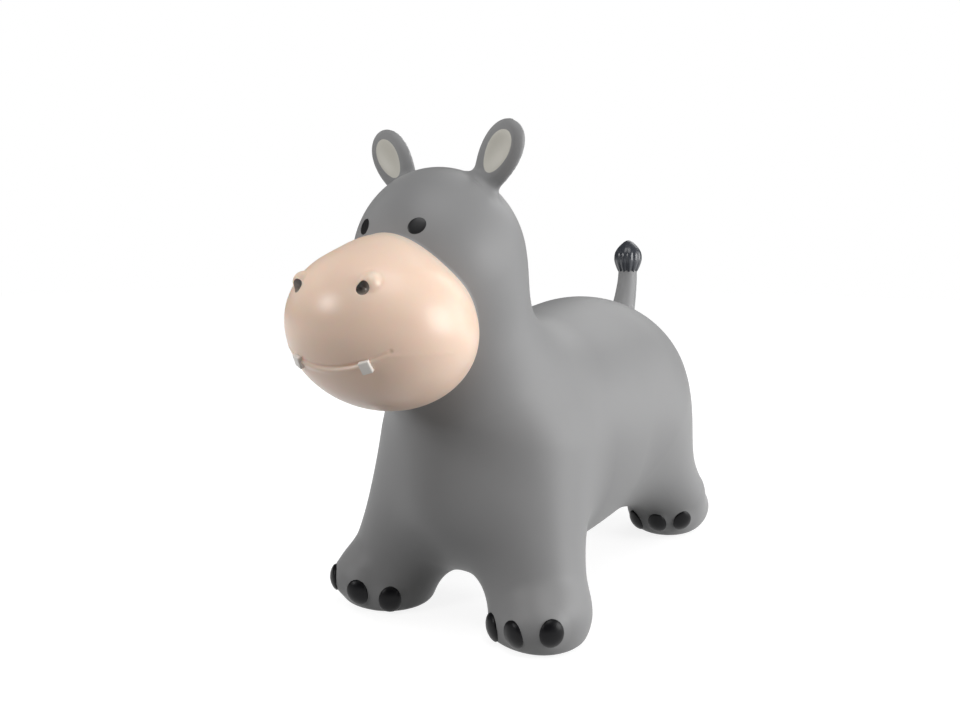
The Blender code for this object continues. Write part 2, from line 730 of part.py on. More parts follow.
# The rolling root of an ear, or its socket when a clearance is given
def ear_root_bmesh(side, clearance=0.0):
    pivot, roll, _ = ear_frame(side)
    bm = bmesh.new()
    turn = Matrix((roll, Vector((0.0, 1.0, 0.0)), roll.cross(Vector((0.0, 1.0, 0.0))))).transposed().to_4x4()
    spin = Matrix.Rotation(math.pi / 2, 4, "Y")
    radius = EAR_ROOT_RADIUS + clearance
    size = Matrix.Diagonal((EAR_ROOT_HALF_WIDTH + clearance, radius, radius, 1.0))
    bmesh.ops.create_uvsphere(bm, u_segments=ROUND_STEPS, v_segments=SMALL_STEPS // 2, radius=1.0,
                              matrix=Matrix.Translation(pivot) @ turn @ size @ spin)
    return bm


def ear_blade_bmesh(side):
    pivot, _, along = ear_frame(side)
    across = Vector((along.z, 0.0, -along.x))
    rings = []
    for height, width, thickness in EAR_SHARES:
        centre = pivot + along * (EAR_LENGTH * height)
        rings.append(ring(centre, across * (EAR_HALF_WIDTH * width),
                          Vector((0.0, EAR_HALF_THICKNESS * thickness, 0.0))))
    return loft_bmesh(rings, tip=pivot + along * EAR_LENGTH)


# The dish in the front of an ear: its hollow goes in by a depth, less what lies in it
def ear_dish_bmesh(side, raise_by=0.0, shrink_by=0.0):
    pivot, _, along = ear_frame(side)
    across = Vector((along.z, 0.0, -along.x))
    centre = pivot + along * (EAR_LENGTH * EAR_CUP_HEIGHT_SHARE)
    centre.y -= EAR_HALF_THICKNESS * 2 - EAR_CUP_DEPTH + raise_by
    turn = Matrix((across, Vector((0.0, 1.0, 0.0)), along)).transposed().to_4x4()
    reach_share = 1.0 / math.sqrt(1.0 - (1.0 - EAR_CUP_DEPTH / EAR_HALF_THICKNESS) ** 2)
    size = Matrix.Diagonal(((EAR_CUP_HALF_WIDTH - shrink_by) * reach_share, EAR_HALF_THICKNESS,
                            (EAR_CUP_HALF_HEIGHT - shrink_by) * reach_share, 1.0))
    bm = bmesh.new()
    bmesh.ops.create_uvsphere(bm, u_segments=ROUND_STEPS, v_segments=SMALL_STEPS, radius=1.0,
                              matrix=Matrix.Translation(centre) @ turn @ size)
    return bm


def make_ear(side, name, grey, cream):
    ear = mesh_object(name, ear_blade_bmesh(side))
    lining = mesh_object(name + "_lining", ear_blade_bmesh(side))
    cut(ear, ear_root_bmesh(side), "UNION")
    cut(ear, ear_dish_bmesh(side))
    cut(lining, ear_dish_bmesh(side, SEAM_GAP, SEAM_GAP), "INTERSECT")
    cut(lining, ear_dish_bmesh(side, SEAM_GAP + EAR_LINING_THICKNESS, -OVERRUN / 4))
    return complete(ear, grey), complete(lining, cream)


def tail_frame():
    start = (0.0, RUMP_Y + TAIL_SETBACK, RUMP_TOP + OVERRUN)
    seat, out = meet(body_form, start, (0.0, 0.0, -1.0))
    return seat + out * TAIL_BALL_LIFT


# Middle line of the tail, which leans back at its foot and stands upright at its top
def tail_line(share):
    foot = tail_frame()
    top = foot + Vector((0.0, TAIL_REACH, TAIL_RISE))
    bend = foot + Vector((0.0, TAIL_REACH, TAIL_RISE * TAIL_BEND_SHARE))
    return foot * (1 - share) ** 2 + bend * 2 * share * (1 - share) + top * share ** 2


def make_tail(grey, charcoal):
    rings = []
    steps = SMALL_STEPS // 2
    for index in range(steps + 1):
        share = index / steps
        way = (tail_line(min(share + TINY ** 0.5, 1.0)) - tail_line(max(share - TINY ** 0.5, 0.0))).normalized()
        across = Vector((1.0, 0.0, 0.0))
        radius = TAIL_BASE_RADIUS + (TAIL_TOP_RADIUS - TAIL_BASE_RADIUS) * share
        rings.append(ring(tail_line(share), across * radius, way.cross(across) * radius))
    stem = mesh_object("tail_stem", loft_bmesh(rings))
    top = tail_line(1.0)
    ball = bmesh.new()
    add_ball(ball, tail_frame(), (TAIL_BALL_RADIUS,) * 3, steps=SMALL_STEPS)
    cut(stem, ball, "UNION")
    spigot = ((TAIL_SPIGOT_RADIUS, -TAIL_SPIGOT_LENGTH), (TAIL_SPIGOT_RADIUS, TAIL_SPIGOT_LENGTH))
    cut(stem, turned_bmesh(top, (0.0, 0.0, 1.0), spigot), "UNION")
    foot = top + Vector((0.0, 0.0, SEAM_GAP))
    tuft_rings = []
    steps = TUFT_FLUTES * 4
    for height, radius, flutes in TUFT_SHARES:
        points = []
        for index in range(steps):
            angle = 2 * math.pi * index / steps
            dip = TUFT_FLUTE_DEPTH_SHARE * flutes * (1 - math.cos(TUFT_FLUTES * angle)) / 2
            size = TUFT_RADIUS * radius * (1 - dip)
            points.append(foot + Vector((size * math.cos(angle), size * math.sin(angle), TUFT_HEIGHT * height)))
        tuft_rings.append(points)
    tuft = mesh_object("tail_tuft", loft_bmesh(tuft_rings, tip=foot + Vector((0.0, 0.0, TUFT_HEIGHT))))
    socket = ((TAIL_SPIGOT_RADIUS + SEAM_GAP, -OVERRUN / 4),
              (TAIL_SPIGOT_RADIUS + SEAM_GAP, TAIL_SPIGOT_LENGTH))
    cut(tuft, turned_bmesh(foot, (0.0, 0.0, 1.0), socket))
    return complete(stem, grey), complete(tuft, charcoal, math.radians(60.0))


# Lowest and highest height of a surface of the belly over the valve's flange
def belly_heights(points, faces):
    tree = BVHTree.FromPolygons([tuple(point) for point in points], faces)
    heights = [tree.ray_cast(Vector((0.0, VALVE_Y, -OVERRUN)), Vector((0.0, 0.0, 1.0)))[0].z]
    for edge in ring((0.0, VALVE_Y, -OVERRUN), (VALVE_FLANGE_RADIUS, 0.0, 0.0), (0.0, VALVE_FLANGE_RADIUS, 0.0)):
        heights.append(tree.ray_cast(edge, Vector((0.0, 0.0, 1.0)))[0].z)
    return min(heights), max(heights)


# The valve stands through the belly skin, its flange inside; the plug is pushed in from below
def make_valve(body, white):
    skin = belly_heights(body["outer"], body["faces"])[0]
    flange = belly_heights(body["inner"], body["faces"])[1] + VALVE_FLANGE_LIFT
    profile = (
        (VALVE_NECK_RADIUS, skin),
        (VALVE_NECK_RADIUS, flange),
        (VALVE_FLANGE_RADIUS, flange),
        (VALVE_FLANGE_RADIUS, flange + VALVE_FLANGE_THICKNESS),
        (VALVE_TUBE_RADIUS, flange + VALVE_FLANGE_THICKNESS),
        (VALVE_TUBE_RADIUS, skin + VALVE_LENGTH),
    )
    axis_foot = (0.0, VALVE_Y, 0.0)
    body = mesh_object("valve_body", turned_bmesh(axis_foot, (0.0, 0.0, 1.0), profile))
    bore = ((VALVE_BORE_RADIUS, skin - OVERRUN / 4), (VALVE_BORE_RADIUS, skin + VALVE_LENGTH + OVERRUN / 4))
    cut(body, turned_bmesh(axis_foot, (0.0, 0.0, 1.0), bore))
    stem = VALVE_BORE_RADIUS - PLUG_CLEARANCE
    cap = skin - SEAM_GAP
    plug_profile = (
        (PLUG_CAP_RADIUS - PLUG_CAP_THICKNESS / 2, cap - PLUG_CAP_THICKNESS),
        (PLUG_CAP_RADIUS, cap - PLUG_CAP_THICKNESS / 2),
        (PLUG_CAP_RADIUS, cap),
        (stem, cap),
        (stem, skin + VALVE_LENGTH - PLUG_TIP_RADIUS),
        (PLUG_TIP_RADIUS, skin + VALVE_LENGTH),
    )
    plug = mesh_object("valve_plug", turned_bmesh(axis_foot, (0.0, 0.0, 1.0), plug_profile))
    return complete(body, white), complete(plug, white)


def make_eye(side, name, surface, black):
    place, out = meet(body_form, (side * EYE_X, -REACH, HEAD_Z + EYE_RISE), (0.0, 1.0, 0.0))
    eye = mesh_object(name, oval_bmesh(place, out, EYE_HALF_WIDTH, EYE_HALF_HEIGHT, EYE_DOME, side * EYE_TILT))
    cut(eye, clear_of(surface))
    return complete(eye, black)


# Nails face the way the foot's front does: each lies where a line from before the foot meets the skin
def make_nails(leg_name, side, places, leg, surface, black):
    foot, radii = leg["foot"], leg["foot_radii"]
    for label, across_share, up_share in places:
        start = Vector((side * (foot[0] + radii[0] * across_share), foot[1] - radii[1] * 2, radii[2] * up_share))
        place, out = meet(body_form, start, (0.0, 1.0, 0.0))
        nail = mesh_object(leg_name + "_" + label + "_toenail",
                           oval_bmesh(place, out, NAIL_HALF_WIDTH, NAIL_HALF_HEIGHT, NAIL_DOME))
        cut(nail, clear_of(surface))
        complete(nail, black)


def make_tusk(side, name, surface, white):
    line, out = mouth_place(side * TUSK_X)
    across = Vector((0.0, 0.0, 1.0)).cross(out).normalized()
    down = -out.cross(across)
    across = Matrix.Rotation(side * TUSK_TILT, 3, out) @ across
    down = Matrix.Rotation(side * TUSK_TILT, 3, out) @ down
    centre = line + down * (TUSK_HEIGHT / 2 - TUSK_TOP_RISE)
    turn = Matrix((across, down, out)).transposed().to_4x4()
    bm = bmesh.new()
    size = Matrix.Diagonal((TUSK_WIDTH, TUSK_HEIGHT, TUSK_DEPTH * 2, 1.0))
    bmesh.ops.create_cube(bm, size=1.0, matrix=Matrix.Translation(centre) @ turn @ size)
    bmesh.ops.bevel(bm, geom=bm.edges[:], offset=TUSK_ROUND, segments=2, affect="EDGES", profile=0.5)
    bmesh.ops.recalc_face_normals(bm, faces=bm.faces)
    tusk = mesh_object(name, bm)
    cut(tusk, clear_of(surface))
    return complete(tusk, white)


# A dark cup in the collar, open at the front
def make_nostril(side, name, black):
    mouth, out = nostril_mouth(side)
    front = -NOSTRIL_CUP_SETBACK
    back = front - NOSTRIL_CUP_DEPTH
    bore = NOSTRIL_CUP_RADIUS - NOSTRIL_CUP_WALL
    cup = mesh_object(name, turned_bmesh(mouth, out, ((NOSTRIL_CUP_RADIUS, back), (NOSTRIL_CUP_RADIUS, front))))
    cut(cup, turned_bmesh(mouth, out, ((bore, back + NOSTRIL_CUP_WALL), (bore, front + OVERRUN / 4))))
    return complete(cup, black)


def make_legs(body, grey):
    regions = (
        ("front_left_leg", front_region(1)),
        ("front_right_leg", front_region(-1)),
        ("rear_left_leg", rear_region(1)),
        ("rear_right_leg", rear_region(-1)),
    )
    for name, region in regions:
        leg = mesh_object(name, skin_bmesh(body["outer"], body["inner"], body["faces"], 0.0, WALL))
        cut(leg, region, "INTERSECT")
        complete(leg, grey)


def make_torso(body, muzzle, grey):
    torso = mesh_object("torso_skin", skin_bmesh(body["outer"], body["inner"], body["faces"], 0.0, WALL))
    cut(torso, head_region(SEAM_GAP))
    for side in (1, -1):
        cut(torso, front_region(side, SEAM_GAP))
        cut(torso, rear_region(side, SEAM_GAP))
    socket = bmesh.new()
    add_ball(socket, tail_frame(), (TAIL_BALL_RADIUS + SEAM_GAP,) * 3)
    cut(torso, socket)
    skin = belly_heights(body["outer"], body["faces"])[0]
    hole_radius = VALVE_NECK_RADIUS + SEAM_GAP
    hole = ((hole_radius, skin - OVERRUN / 4), (hole_radius, skin + OVERRUN / 4))
    cut(torso, turned_bmesh((0.0, VALVE_Y, 0.0), (0.0, 0.0, 1.0), hole))
    return complete(torso, grey)


def make_head(body, muzzle, grey):
    head = mesh_object("head_skin", skin_bmesh(body["outer"], body["inner"], body["faces"], 0.0, WALL))
    cut(head, head_region(), "INTERSECT")
    cut(head, surface_bmesh(muzzle["outer"], muzzle["faces"]))
    for side in (1, -1):
        cut(head, ear_root_bmesh(side, SEAM_GAP))
    return complete(head, grey)


def make_muzzle(body, muzzle, peach):
    item = mesh_object("muzzle_skin", skin_bmesh(muzzle["outer"], muzzle["inner"], muzzle["faces"]))
    cut(item, clear_of(body))
    for side in (1, -1):
        rim, out = nostril_mouth(side)
        radius = NOSTRIL_CUP_RADIUS + SEAM_GAP
        hole = ((radius, -NOSTRIL_CUP_DEPTH * 2), (radius, OVERRUN / 2))
        cut(item, turned_bmesh(rim, out, hole))
    mouth = [mouth_place(share * MOUTH_END_X)[0] for share in np.linspace(-1.0, 1.0, MOUTH_STEPS + 1)]
    cut(item, tube_bmesh(mouth, MOUTH_GROOVE_RADIUS))
    return complete(item, peach)


def build():
    for item in list(bpy.data.objects):
        bpy.data.objects.remove(item, do_unlink=True)
    grey = finish("grey_skin", GREY, 0.55)
    peach = finish("peach_muzzle", PEACH, 0.35)
    cream = finish("cream_ear", CREAM, 0.5)
    black = finish("black_gloss", BLACK, 0.3)
    charcoal = finish("charcoal_tuft", CHARCOAL, 0.4)
    white = finish("white_tusk", WHITE, 0.4)
    valve_white = finish("white_valve", VALVE_WHITE, 0.4)
    body, muzzle = build_surfaces()
    make_legs(body, grey)
    make_torso(body, muzzle, grey)
    make_head(body, muzzle, grey)
    make_muzzle(body, muzzle, peach)
    for side, hand in ((1, "left"), (-1, "right")):
        make_nails("front_" + hand, side, FRONT_NAIL_SHARES, FRONT_LEG, body, black)
        make_nails("rear_" + hand, side, REAR_NAIL_SHARES, REAR_LEG, body, black)
        make_eye(side, "eye_" + hand, body, black)
        make_nostril(side, "nostril_" + hand, black)
        make_tusk(side, "tusk_" + hand, muzzle, white)
        make_ear(side, "ear_" + hand, grey, cream)
    make_tail(grey, charcoal)
    make_valve(body, valve_white)


build()
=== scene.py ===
# Bouncy ride-on hippo in blown PVC, on a plain white floor. Metres, nose towards -Y, +X on its left.
import math

import bmesh
import bpy
import numpy as np
from mathutils import Matrix, Vector


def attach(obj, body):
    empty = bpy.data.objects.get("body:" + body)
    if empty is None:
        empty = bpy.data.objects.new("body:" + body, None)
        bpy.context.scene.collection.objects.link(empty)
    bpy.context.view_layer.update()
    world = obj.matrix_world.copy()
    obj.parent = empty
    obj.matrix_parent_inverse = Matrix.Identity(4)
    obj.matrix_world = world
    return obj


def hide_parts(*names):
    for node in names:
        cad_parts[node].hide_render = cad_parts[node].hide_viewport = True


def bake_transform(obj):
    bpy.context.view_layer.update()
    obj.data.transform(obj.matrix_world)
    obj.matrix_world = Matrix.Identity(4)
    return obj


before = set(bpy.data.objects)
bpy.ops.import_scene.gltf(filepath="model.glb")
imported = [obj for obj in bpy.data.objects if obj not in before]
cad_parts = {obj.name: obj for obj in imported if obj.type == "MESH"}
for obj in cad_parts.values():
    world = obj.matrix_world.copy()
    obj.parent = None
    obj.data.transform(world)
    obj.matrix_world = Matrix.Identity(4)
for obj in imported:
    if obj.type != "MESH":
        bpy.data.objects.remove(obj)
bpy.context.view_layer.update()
print("frame loaded")


def newObject(name, data):
    item = bpy.data.objects.new(name, data)
    bpy.context.scene.collection.objects.link(item)
    return item


# Camera
view = {
    "place": (0.4277, -0.7590, 0.3427), "turn": math.radians(32.1), "dip": math.radians(7.3),
    "focalPixels": 859.2, "frameWidth": 960, "sensor": 36.0,
}


def addCamera():
    data = bpy.data.cameras.new("camera")
    data.sensor_width = view["sensor"]
    data.lens = view["focalPixels"] / view["frameWidth"] * view["sensor"]
    camera = newObject("camera", data)
    camera.location = view["place"]
    camera.rotation_euler = (math.pi / 2 - view["dip"], 0, view["turn"])
    bpy.context.scene.camera = camera


addCamera()
print("camera set")

hands = {"left": 1, "right": -1}  # the way along X on which each side lies
tiny = 1e-9  # keeps a division away from zero
farAway = 9.0  # further than any two places on the toy
faceFrom = -0.5  # places on the face are found by going back from here


def lengths(rows):
    return np.linalg.norm(rows, axis=1)


# Rounded forms
# Each form gives how far a point lies from a surface, below zero inside it.
def ellipsoid(points, centre, radii, pitch=0.0):
    x, y, z = (points - np.array(centre)).T
    c, s = math.cos(pitch), math.sin(pitch)
    local = np.stack([x, y * c + z * s, z * c - y * s], axis=1)
    radii = np.array(radii)
    near = lengths(local / radii)
    return near * (near - 1) / (lengths(local / radii ** 2) + tiny)


def ball(points, centre, radius):
    return ellipsoid(points, centre, (radius,) * 3)


def taper(points, start, end, startRadius, endRadius):
    start = np.array(start)
    run = np.array(end) - start
    along = np.clip((points - start) @ run / (run @ run), 0, 1)
    away = lengths(points - start - np.outer(along, run))
    return away - (startRadius + (endRadius - startRadius) * along)


def blend(a, b, width):
    near = np.maximum(width - np.abs(a - b), 0) / width
    return np.minimum(a, b) - near ** 2 * width / 4


def carve(a, b, width):
    return -blend(-a, -b, width)


# Adds a smaller form to a larger one, working out only the points in its box
def blendNear(body, points, box, form, width):
    low, high = box
    close = np.flatnonzero(((points > low) & (points < high)).all(axis=1))
    if len(close):
        body[close] = blend(body[close], form(points[close]), width)
    return body


# The same points, all on the left side
def folded(points):
    beside = np.array(points)
    beside[:, 0] = np.abs(beside[:, 0])
    return beside


# The way in which a form grows fastest at each point
def slope(form, points, probe=0.00005):
    result = np.empty_like(points)
    for axis in range(3):
        step = np.zeros(3)
        step[axis] = probe
        result[:, axis] = (form(points + step) - form(points - step)) / (2 * probe)
    return result


# Moves points onto a form's surface
def land(form, points, rounds=6, longest=0.004, probe=0.00003):
    for _ in range(rounds):
        here = form(points)
        way = np.stack([(form(points + step) - here) / probe for step in np.eye(3) * probe], axis=1)
        size = np.maximum((way ** 2).sum(axis=1), tiny)
        points = points - way * np.clip(here / size, -longest, longest)[:, None]
    return points


# Goes one way from a place until it meets a form; gives the place there and the way out
def meet(form, start, direction, steps=120):
    direction = Vector(direction).normalized()
    place = Vector(start)
    for _ in range(steps):
        place = place + direction * float(form(np.array([place]))[0])
    return place, Vector(slope(form, np.array([place]))[0]).normalized()


# The blown skin
skin = {
    "chest": ((0, -0.0246, 0.1216), (0.0908, 0.1391, 0.0903)),
    "rump": ((0, 0.1393, 0.1707), (0.1228, 0.1482, 0.1190)),
    "barrelBlend": 0.0946,
    "saddle": ((0, 0.0191, 0.1763), (0.1012, 0.1241, 0.0952)),
    "saddleBlend": 0.0452,
    "neck": ((0, -0.0963, 0.2264), (0, -0.141, 0.323), 0.0758, 0.065),
    "head": ((0, -0.141, 0.334), (0.070, 0.082, 0.079)),
    "crownBlend": 0.022,
    "neckBlend": 0.0592,
    "legBlend": 0.0494,
    "archBlend": 0.0437,
    "footBlend": 0.014,
    "soleBlend": 0.006,
}
# A leg's seam has its height at the ankle and its rise outwards and forwards;
# a nail has its place across the foot and its height, as shares of the foot's radii
frontLeg = {
    "foot": ((0.0996, -0.1209, 0.0282), (0.0307, 0.0413, 0.0284)),
    "limb": ((0.0545, -0.0775, 0.1515), (0.0830, -0.1106, 0.0204), 0.0428, 0.0452),
    "nails": (("inner", -1.404, 0.528), ("middle", -0.466, 0.718), ("outer", 0.606, 0.954)),
    "seam": (0.056, 0.28, 0.25),
    "seamFromTo": (-0.2, -0.010),
    "box": ((-1, -1, -1), (1, 0.03, 0.26)),
}
rearLeg = {
    "foot": ((0.0753, 0.2423, 0.0285), (0.0474, 0.0588, 0.0361)),
    "limb": ((0.0564, 0.1426, 0.1403), (0.0872, 0.2201, 0.0513), 0.0531, 0.0393),
    "nails": (("inner", -0.449, 0.535), ("middle", 0.173, 0.651), ("outer", 0.722, 0.756)),
    "seam": (0.056, 0.28, 0.0),
    "seamFromTo": (0.125, 0.34),
    "box": ((-1, 0.03, -1), (1, 1, 0.26)),
}
legs = {"front": frontLeg, "rear": rearLeg}
seamInnerX = 0.012  # a leg's seam ends here, short of the middle of the belly
toe = {"radius": 0.0135, "depth": 0.0127, "blend": 0.008, "reach": 0.03}
# Where smaller forms can change the body; each leg has its own box
boxes = {
    "crown": ((-1, -1, 0.08), (1, 0.04, 1)),
    "ears": ((-1, -0.19, 0.36), (1, -0.08, 1)),
    "tail": ((-0.05, 0.19, 0.18), (0.05, 1, 1)),
    "muzzle": ((-0.11, -0.34, 0.18), (0.11, -0.10, 0.38)),
}


def limbForm(points, leg):
    return blend(taper(points, *leg["limb"]), ellipsoid(points, *leg["foot"]), skin["footBlend"])


def legPair(points, leg):
    return blend(limbForm(points, leg), limbForm(points * (-1, 1, 1), leg), skin["archBlend"])


def crownForm(points):
    return blend(ellipsoid(points, *skin["head"]), taper(points, *skin["neck"]), skin["crownBlend"])


def plainBody(points):
    chest, rump = ellipsoid(points, *skin["chest"]), ellipsoid(points, *skin["rump"])
    body = blend(chest, rump, skin["barrelBlend"])
    body = blend(body, ellipsoid(points, *skin["saddle"]), skin["saddleBlend"])
    body = blendNear(body, points, boxes["crown"], crownForm, skin["neckBlend"])
    for leg in legs.values():
        body = blendNear(body, points, leg["box"], lambda near: legPair(near, leg), skin["legBlend"])
    return body


# Where each nail lies on the left feet: its place and the way out of the skin there
def nailSeats(leg):
    centre, radii = leg["foot"]
    seats = []
    for label, across, up in leg["nails"]:
        start = (centre[0] + radii[0] * across, centre[1] - radii[1] * 2, radii[2] * up)
        seats.append((label, *meet(plainBody, start, (0, 1, 0))))
    return seats


nailPlaces = {end: nailSeats(leg) for end, leg in legs.items()}
toeCentres = [np.array(place - out * toe["depth"]) for row in nailPlaces.values() for _, place, out in row]

# Ears; "widen" and "swell" are a blade's size at its foot, its growth, and where on its length that starts
ear = {
    "pivotX": 0.0411,
    "y": -0.1349,
    "dropFrom": 0.45,
    "lift": -0.0012,
    "tilt": math.radians(31.0),
    "length": 0.0614,
    "halfWidth": 0.0163, "halfThickness": 0.00675, "halfLengthShare": 0.55,
    "widen": (1.033, 0.392, 0.064),
    "swell": (1.049, 0.700, 0.338),
    "growthBend": 20, "growthEnds": (-0.3, 1.2),
    "middleShare": 0.413,
    "blend": 0.0113,
    "dishHalf": (0.0125, 0.0223),
    "dishDepth": 0.0012,
    "dishHeightShare": 0.513,
    "dishBlend": 0.0016,
    "seam": 0.0075,
    "bendEnd": 0.017,
    "liningAboveSeam": 0.001, "liningOverlap": 0.0008,
}


earFoot, crownOut = meet(plainBody, (ear["pivotX"], ear["y"], ear["dropFrom"]), (0, 0, -1))
earFoot = np.array(earFoot + Vector((crownOut.x, 0, crownOut.z)).normalized() * ear["lift"])
earUp = np.array((math.sin(ear["tilt"]), 0, math.cos(ear["tilt"])))
earSide = np.array((earUp[2], 0, -earUp[0]))


# The left ear's blade, and the ball that its hollow is pressed with
def earForms(beside):
    local = beside - earFoot
    across, thick, up = local @ earSide, local[:, 1], local @ earUp
    length, half, depth, bend = ear["length"], ear["halfThickness"], ear["dishDepth"], ear["growthBend"]
    share = np.clip(up / length, *ear["growthEnds"])
    widen, swell = (base + growth * np.logaddexp(0, (share - start) * bend) / bend
                    for base, growth, start in (ear["widen"], ear["swell"]))
    q = np.stack([across / widen, thick / swell, up - ear["middleShare"] * length], axis=1)
    blade = ellipsoid(q, (0, 0, 0), (ear["halfWidth"], half, ear["halfLengthShare"] * length))
    reach = 1 / math.sqrt(1 - (1 - depth / half) ** 2)
    q = np.stack([across, thick + 2 * half - depth, up - ear["dishHeightShare"] * length], axis=1)
    dish = ellipsoid(q, (0, 0, 0), (ear["dishHalf"][0] * reach, half, ear["dishHalf"][1] * reach))
    return blade, dish


def dishedEar(beside):
    blade, dish = earForms(beside)
    return carve(blade, -dish, ear["dishBlend"])


# Tail
tail = {
    "y": 0.2545,
    "dropFrom": 0.31,
    "lift": 0.002,
    "reach": 0.0230,
    "rise": 0.0676,
    "bendShare": 0.62,
    "baseRadius": 0.0164,
    "topRadius": 0.0117,
    "rootDepth": 0.01, "slimming": 1.6, "steps": 8,
    "blend": 0.011,
    "seam": 0.008, "seamRadius": 0.024, "seamFlare": 0.4, "seamFrontY": 0.2,
    "bendEnd": 0.030,
}
tailFoot, rumpOut = meet(plainBody, (0, tail["y"], tail["dropFrom"]), (0, 0, -1))
tailFoot = np.array(tailFoot + rumpOut * tail["lift"])
tailTop = tailFoot + (0, tail["reach"], tail["rise"])
tailBend = tailFoot + (0, tail["reach"], tail["rise"] * tail["bendShare"])
tailUp = (tailBend - tailFoot) / np.linalg.norm(tailBend - tailFoot)


def tailForm(points):
    steps = tail["steps"]
    shares = np.linspace(0, 1, steps + 1)
    slim = (1 - shares) ** tail["slimming"]
    radii = tail["topRadius"] + (tail["baseRadius"] - tail["topRadius"]) * slim
    shares = shares[:, None]
    line = tailFoot * (1 - shares) ** 2 + tailBend * 2 * shares * (1 - shares) + tailTop * shares ** 2
    stem = taper(points, line[0] - tailUp * tail["rootDepth"], line[0], radii[0], radii[0])
    for index in range(steps):
        part = taper(points, line[index], line[index + 1], radii[index], radii[index + 1])
        stem = np.minimum(stem, part)
    return stem


# The body with its toes, flat soles, ears and tail
def bodyForm(points):
    beside = folded(points)
    body = plainBody(points)
    for centre in toeCentres:
        box = (centre - toe["reach"], centre + toe["reach"])
        body = blendNear(body, beside, box, lambda near: ball(near, centre, toe["radius"]), toe["blend"])
    body = carve(body, -points[:, 2], skin["soleBlend"])
    body = blendNear(body, beside, boxes["ears"], dishedEar, ear["blend"])
    return blendNear(body, points, boxes["tail"], tailForm, tail["blend"])


# Muzzle
muzzle = {
    "mass": ((0, -0.2230, 0.2810), (0.0778, 0.0768, 0.0650), math.radians(-24.4)),
    "bridge": ((0, -0.2219, 0.2890), (0.0587, 0.0501, 0.0665)),
    "bridgeBlend": 0.0078,
    "creaseBlend": 0.0035,
}
nostril = {
    "x": 0.0316, "z": 0.3165,
    "bossRadius": 0.0081, "bossShift": (0.0011, 0.0068, 0.0023), "bossBlend": 0.0030,
    "way": (-0.08, -0.92, -0.25), "approach": 0.2,
    "holeRadius": 0.0051, "holeDepth": 0.0040, "holeBlend": 0.0009, "holeBackY": -0.25,
    # The pale spot in each nostril cup: partly its own grey, partly a painted reflection
    "paleAndReflectionSpot": (0.0014, -0.0012), "paleAndReflectionRadius": 0.0044, "paleAndReflectionSpread": 1.5,
}
# The groove and its lip have their full depth to a little past the tusks, and fade from there
mouth = {
    "height": 0.2575, "endX": 0.050, "rise": 0.013, "steps": 14,
    "tuskX": 0.0320, "pastTusk": 0.004, "fadeLength": 0.006, "endShare": 0.24,
    "grooveDepth": 0.0023, "grooveWidth": 0.0011, "lipRadius": 0.0034, "lipHeight": 0.0010,
    "dimpleRadius": 0.0016, "dimpleDepth": 0.0009,
    "box": ((0, -1, 0.235), (1, -0.23, 0.295)), "skinNear": 0.02,
}


def plainMuzzle(points):
    mass, bridge = ellipsoid(points, *muzzle["mass"]), ellipsoid(points, *muzzle["bridge"])
    return blend(mass, bridge, muzzle["bridgeBlend"])


nostrilSeat = meet(plainMuzzle, (nostril["x"], faceFrom, nostril["z"]), (0, 1, 0))[0]
bossCentre = nostrilSeat + Vector(nostril["bossShift"])


def bossedMuzzle(points):
    boss = ball(folded(points), bossCentre, nostril["bossRadius"])
    return blend(plainMuzzle(points), boss, nostril["bossBlend"])


nostrilOut = Vector(nostril["way"]).normalized()
nostrilRim = meet(bossedMuzzle, bossCentre + nostrilOut * nostril["approach"], -nostrilOut)[0]
holeCentre = nostrilRim + nostrilOut * (nostril["holeRadius"] - nostril["holeDepth"])


def nostrilHole(points):
    return ball(folded(points), holeCentre, nostril["holeRadius"])


def mouthPlace(x):
    height = mouth["height"] + mouth["rise"] * (x / mouth["endX"]) ** 2
    return np.array(meet(bossedMuzzle, (x, faceFrom, height), (0, 1, 0))[0])


mouthLine = np.array([mouthPlace(x) for x in np.linspace(0, mouth["endX"], mouth["steps"])])


# How far each point lies from the mouth line, how far out its nearest place is, and how far below it
def mouthReach(beside):
    best = np.full((3, len(beside)), farAway)
    for a, b in zip(mouthLine, mouthLine[1:]):
        run = b - a
        share = np.clip((beside - a) @ run / (run @ run), 0, 1)
        offset = beside - a - np.outer(share, run)
        found = np.stack([lengths(offset), a[0] + share * run[0], -offset[:, 2]])
        best = np.where(found[0] < best[0], found, best)
    return best


# What the groove, the lip below it and the dimple at its end take off or add
def mouthCut(beside):
    gap, far, below = mouthReach(beside)
    fade = np.clip((mouth["tuskX"] + mouth["pastTusk"] - far) / mouth["fadeLength"], mouth["endShare"], 1)
    lip = np.clip(1 - np.abs(below - mouth["lipRadius"]) / mouth["lipRadius"], 0, 1)
    lip = lip * lip * (3 - 2 * lip) * mouth["lipHeight"] * fade
    groove = mouth["grooveDepth"] * fade * np.exp(-(gap / mouth["grooveWidth"]) ** 2)
    fromEnd = lengths(beside - mouthLine[-1])
    return lip, groove, mouth["dimpleDepth"] * np.exp(-(fromEnd / mouth["dimpleRadius"]) ** 2)


def muzzleForm(points):
    beside = folded(points)
    form = bossedMuzzle(points)
    low, high = mouth["box"]
    inBox = ((beside >= low) & (beside < high)).all(axis=1)
    close = np.flatnonzero(inBox & (form < mouth["skinNear"]))
    if len(close):
        lip, groove, dimple = mouthCut(beside[close])
        form[close] = form[close] - lip + groove + dimple
    return carve(form, -nostrilHole(points), nostril["holeBlend"])


def wholeForm(points):
    return blendNear(bodyForm(points), points, boxes["muzzle"], muzzleForm, muzzle["creaseBlend"])


# One fine surface on the form
surface = {
    "grid": 0.0032, "landRounds": 6, "settleRounds": 10,
    "refineWithin": (0.006, 0.0035, 0.0014), "refineRounds": 5,
    "ballSteps": 32, "limbBalls": 12, "limbBallSteps": 20,
    "holeRing": 0.004, "mouthWithin": 0.003, "dishAbove": 0.395,
    "onSeam": 1e-7, "endShare": 0.02,
}
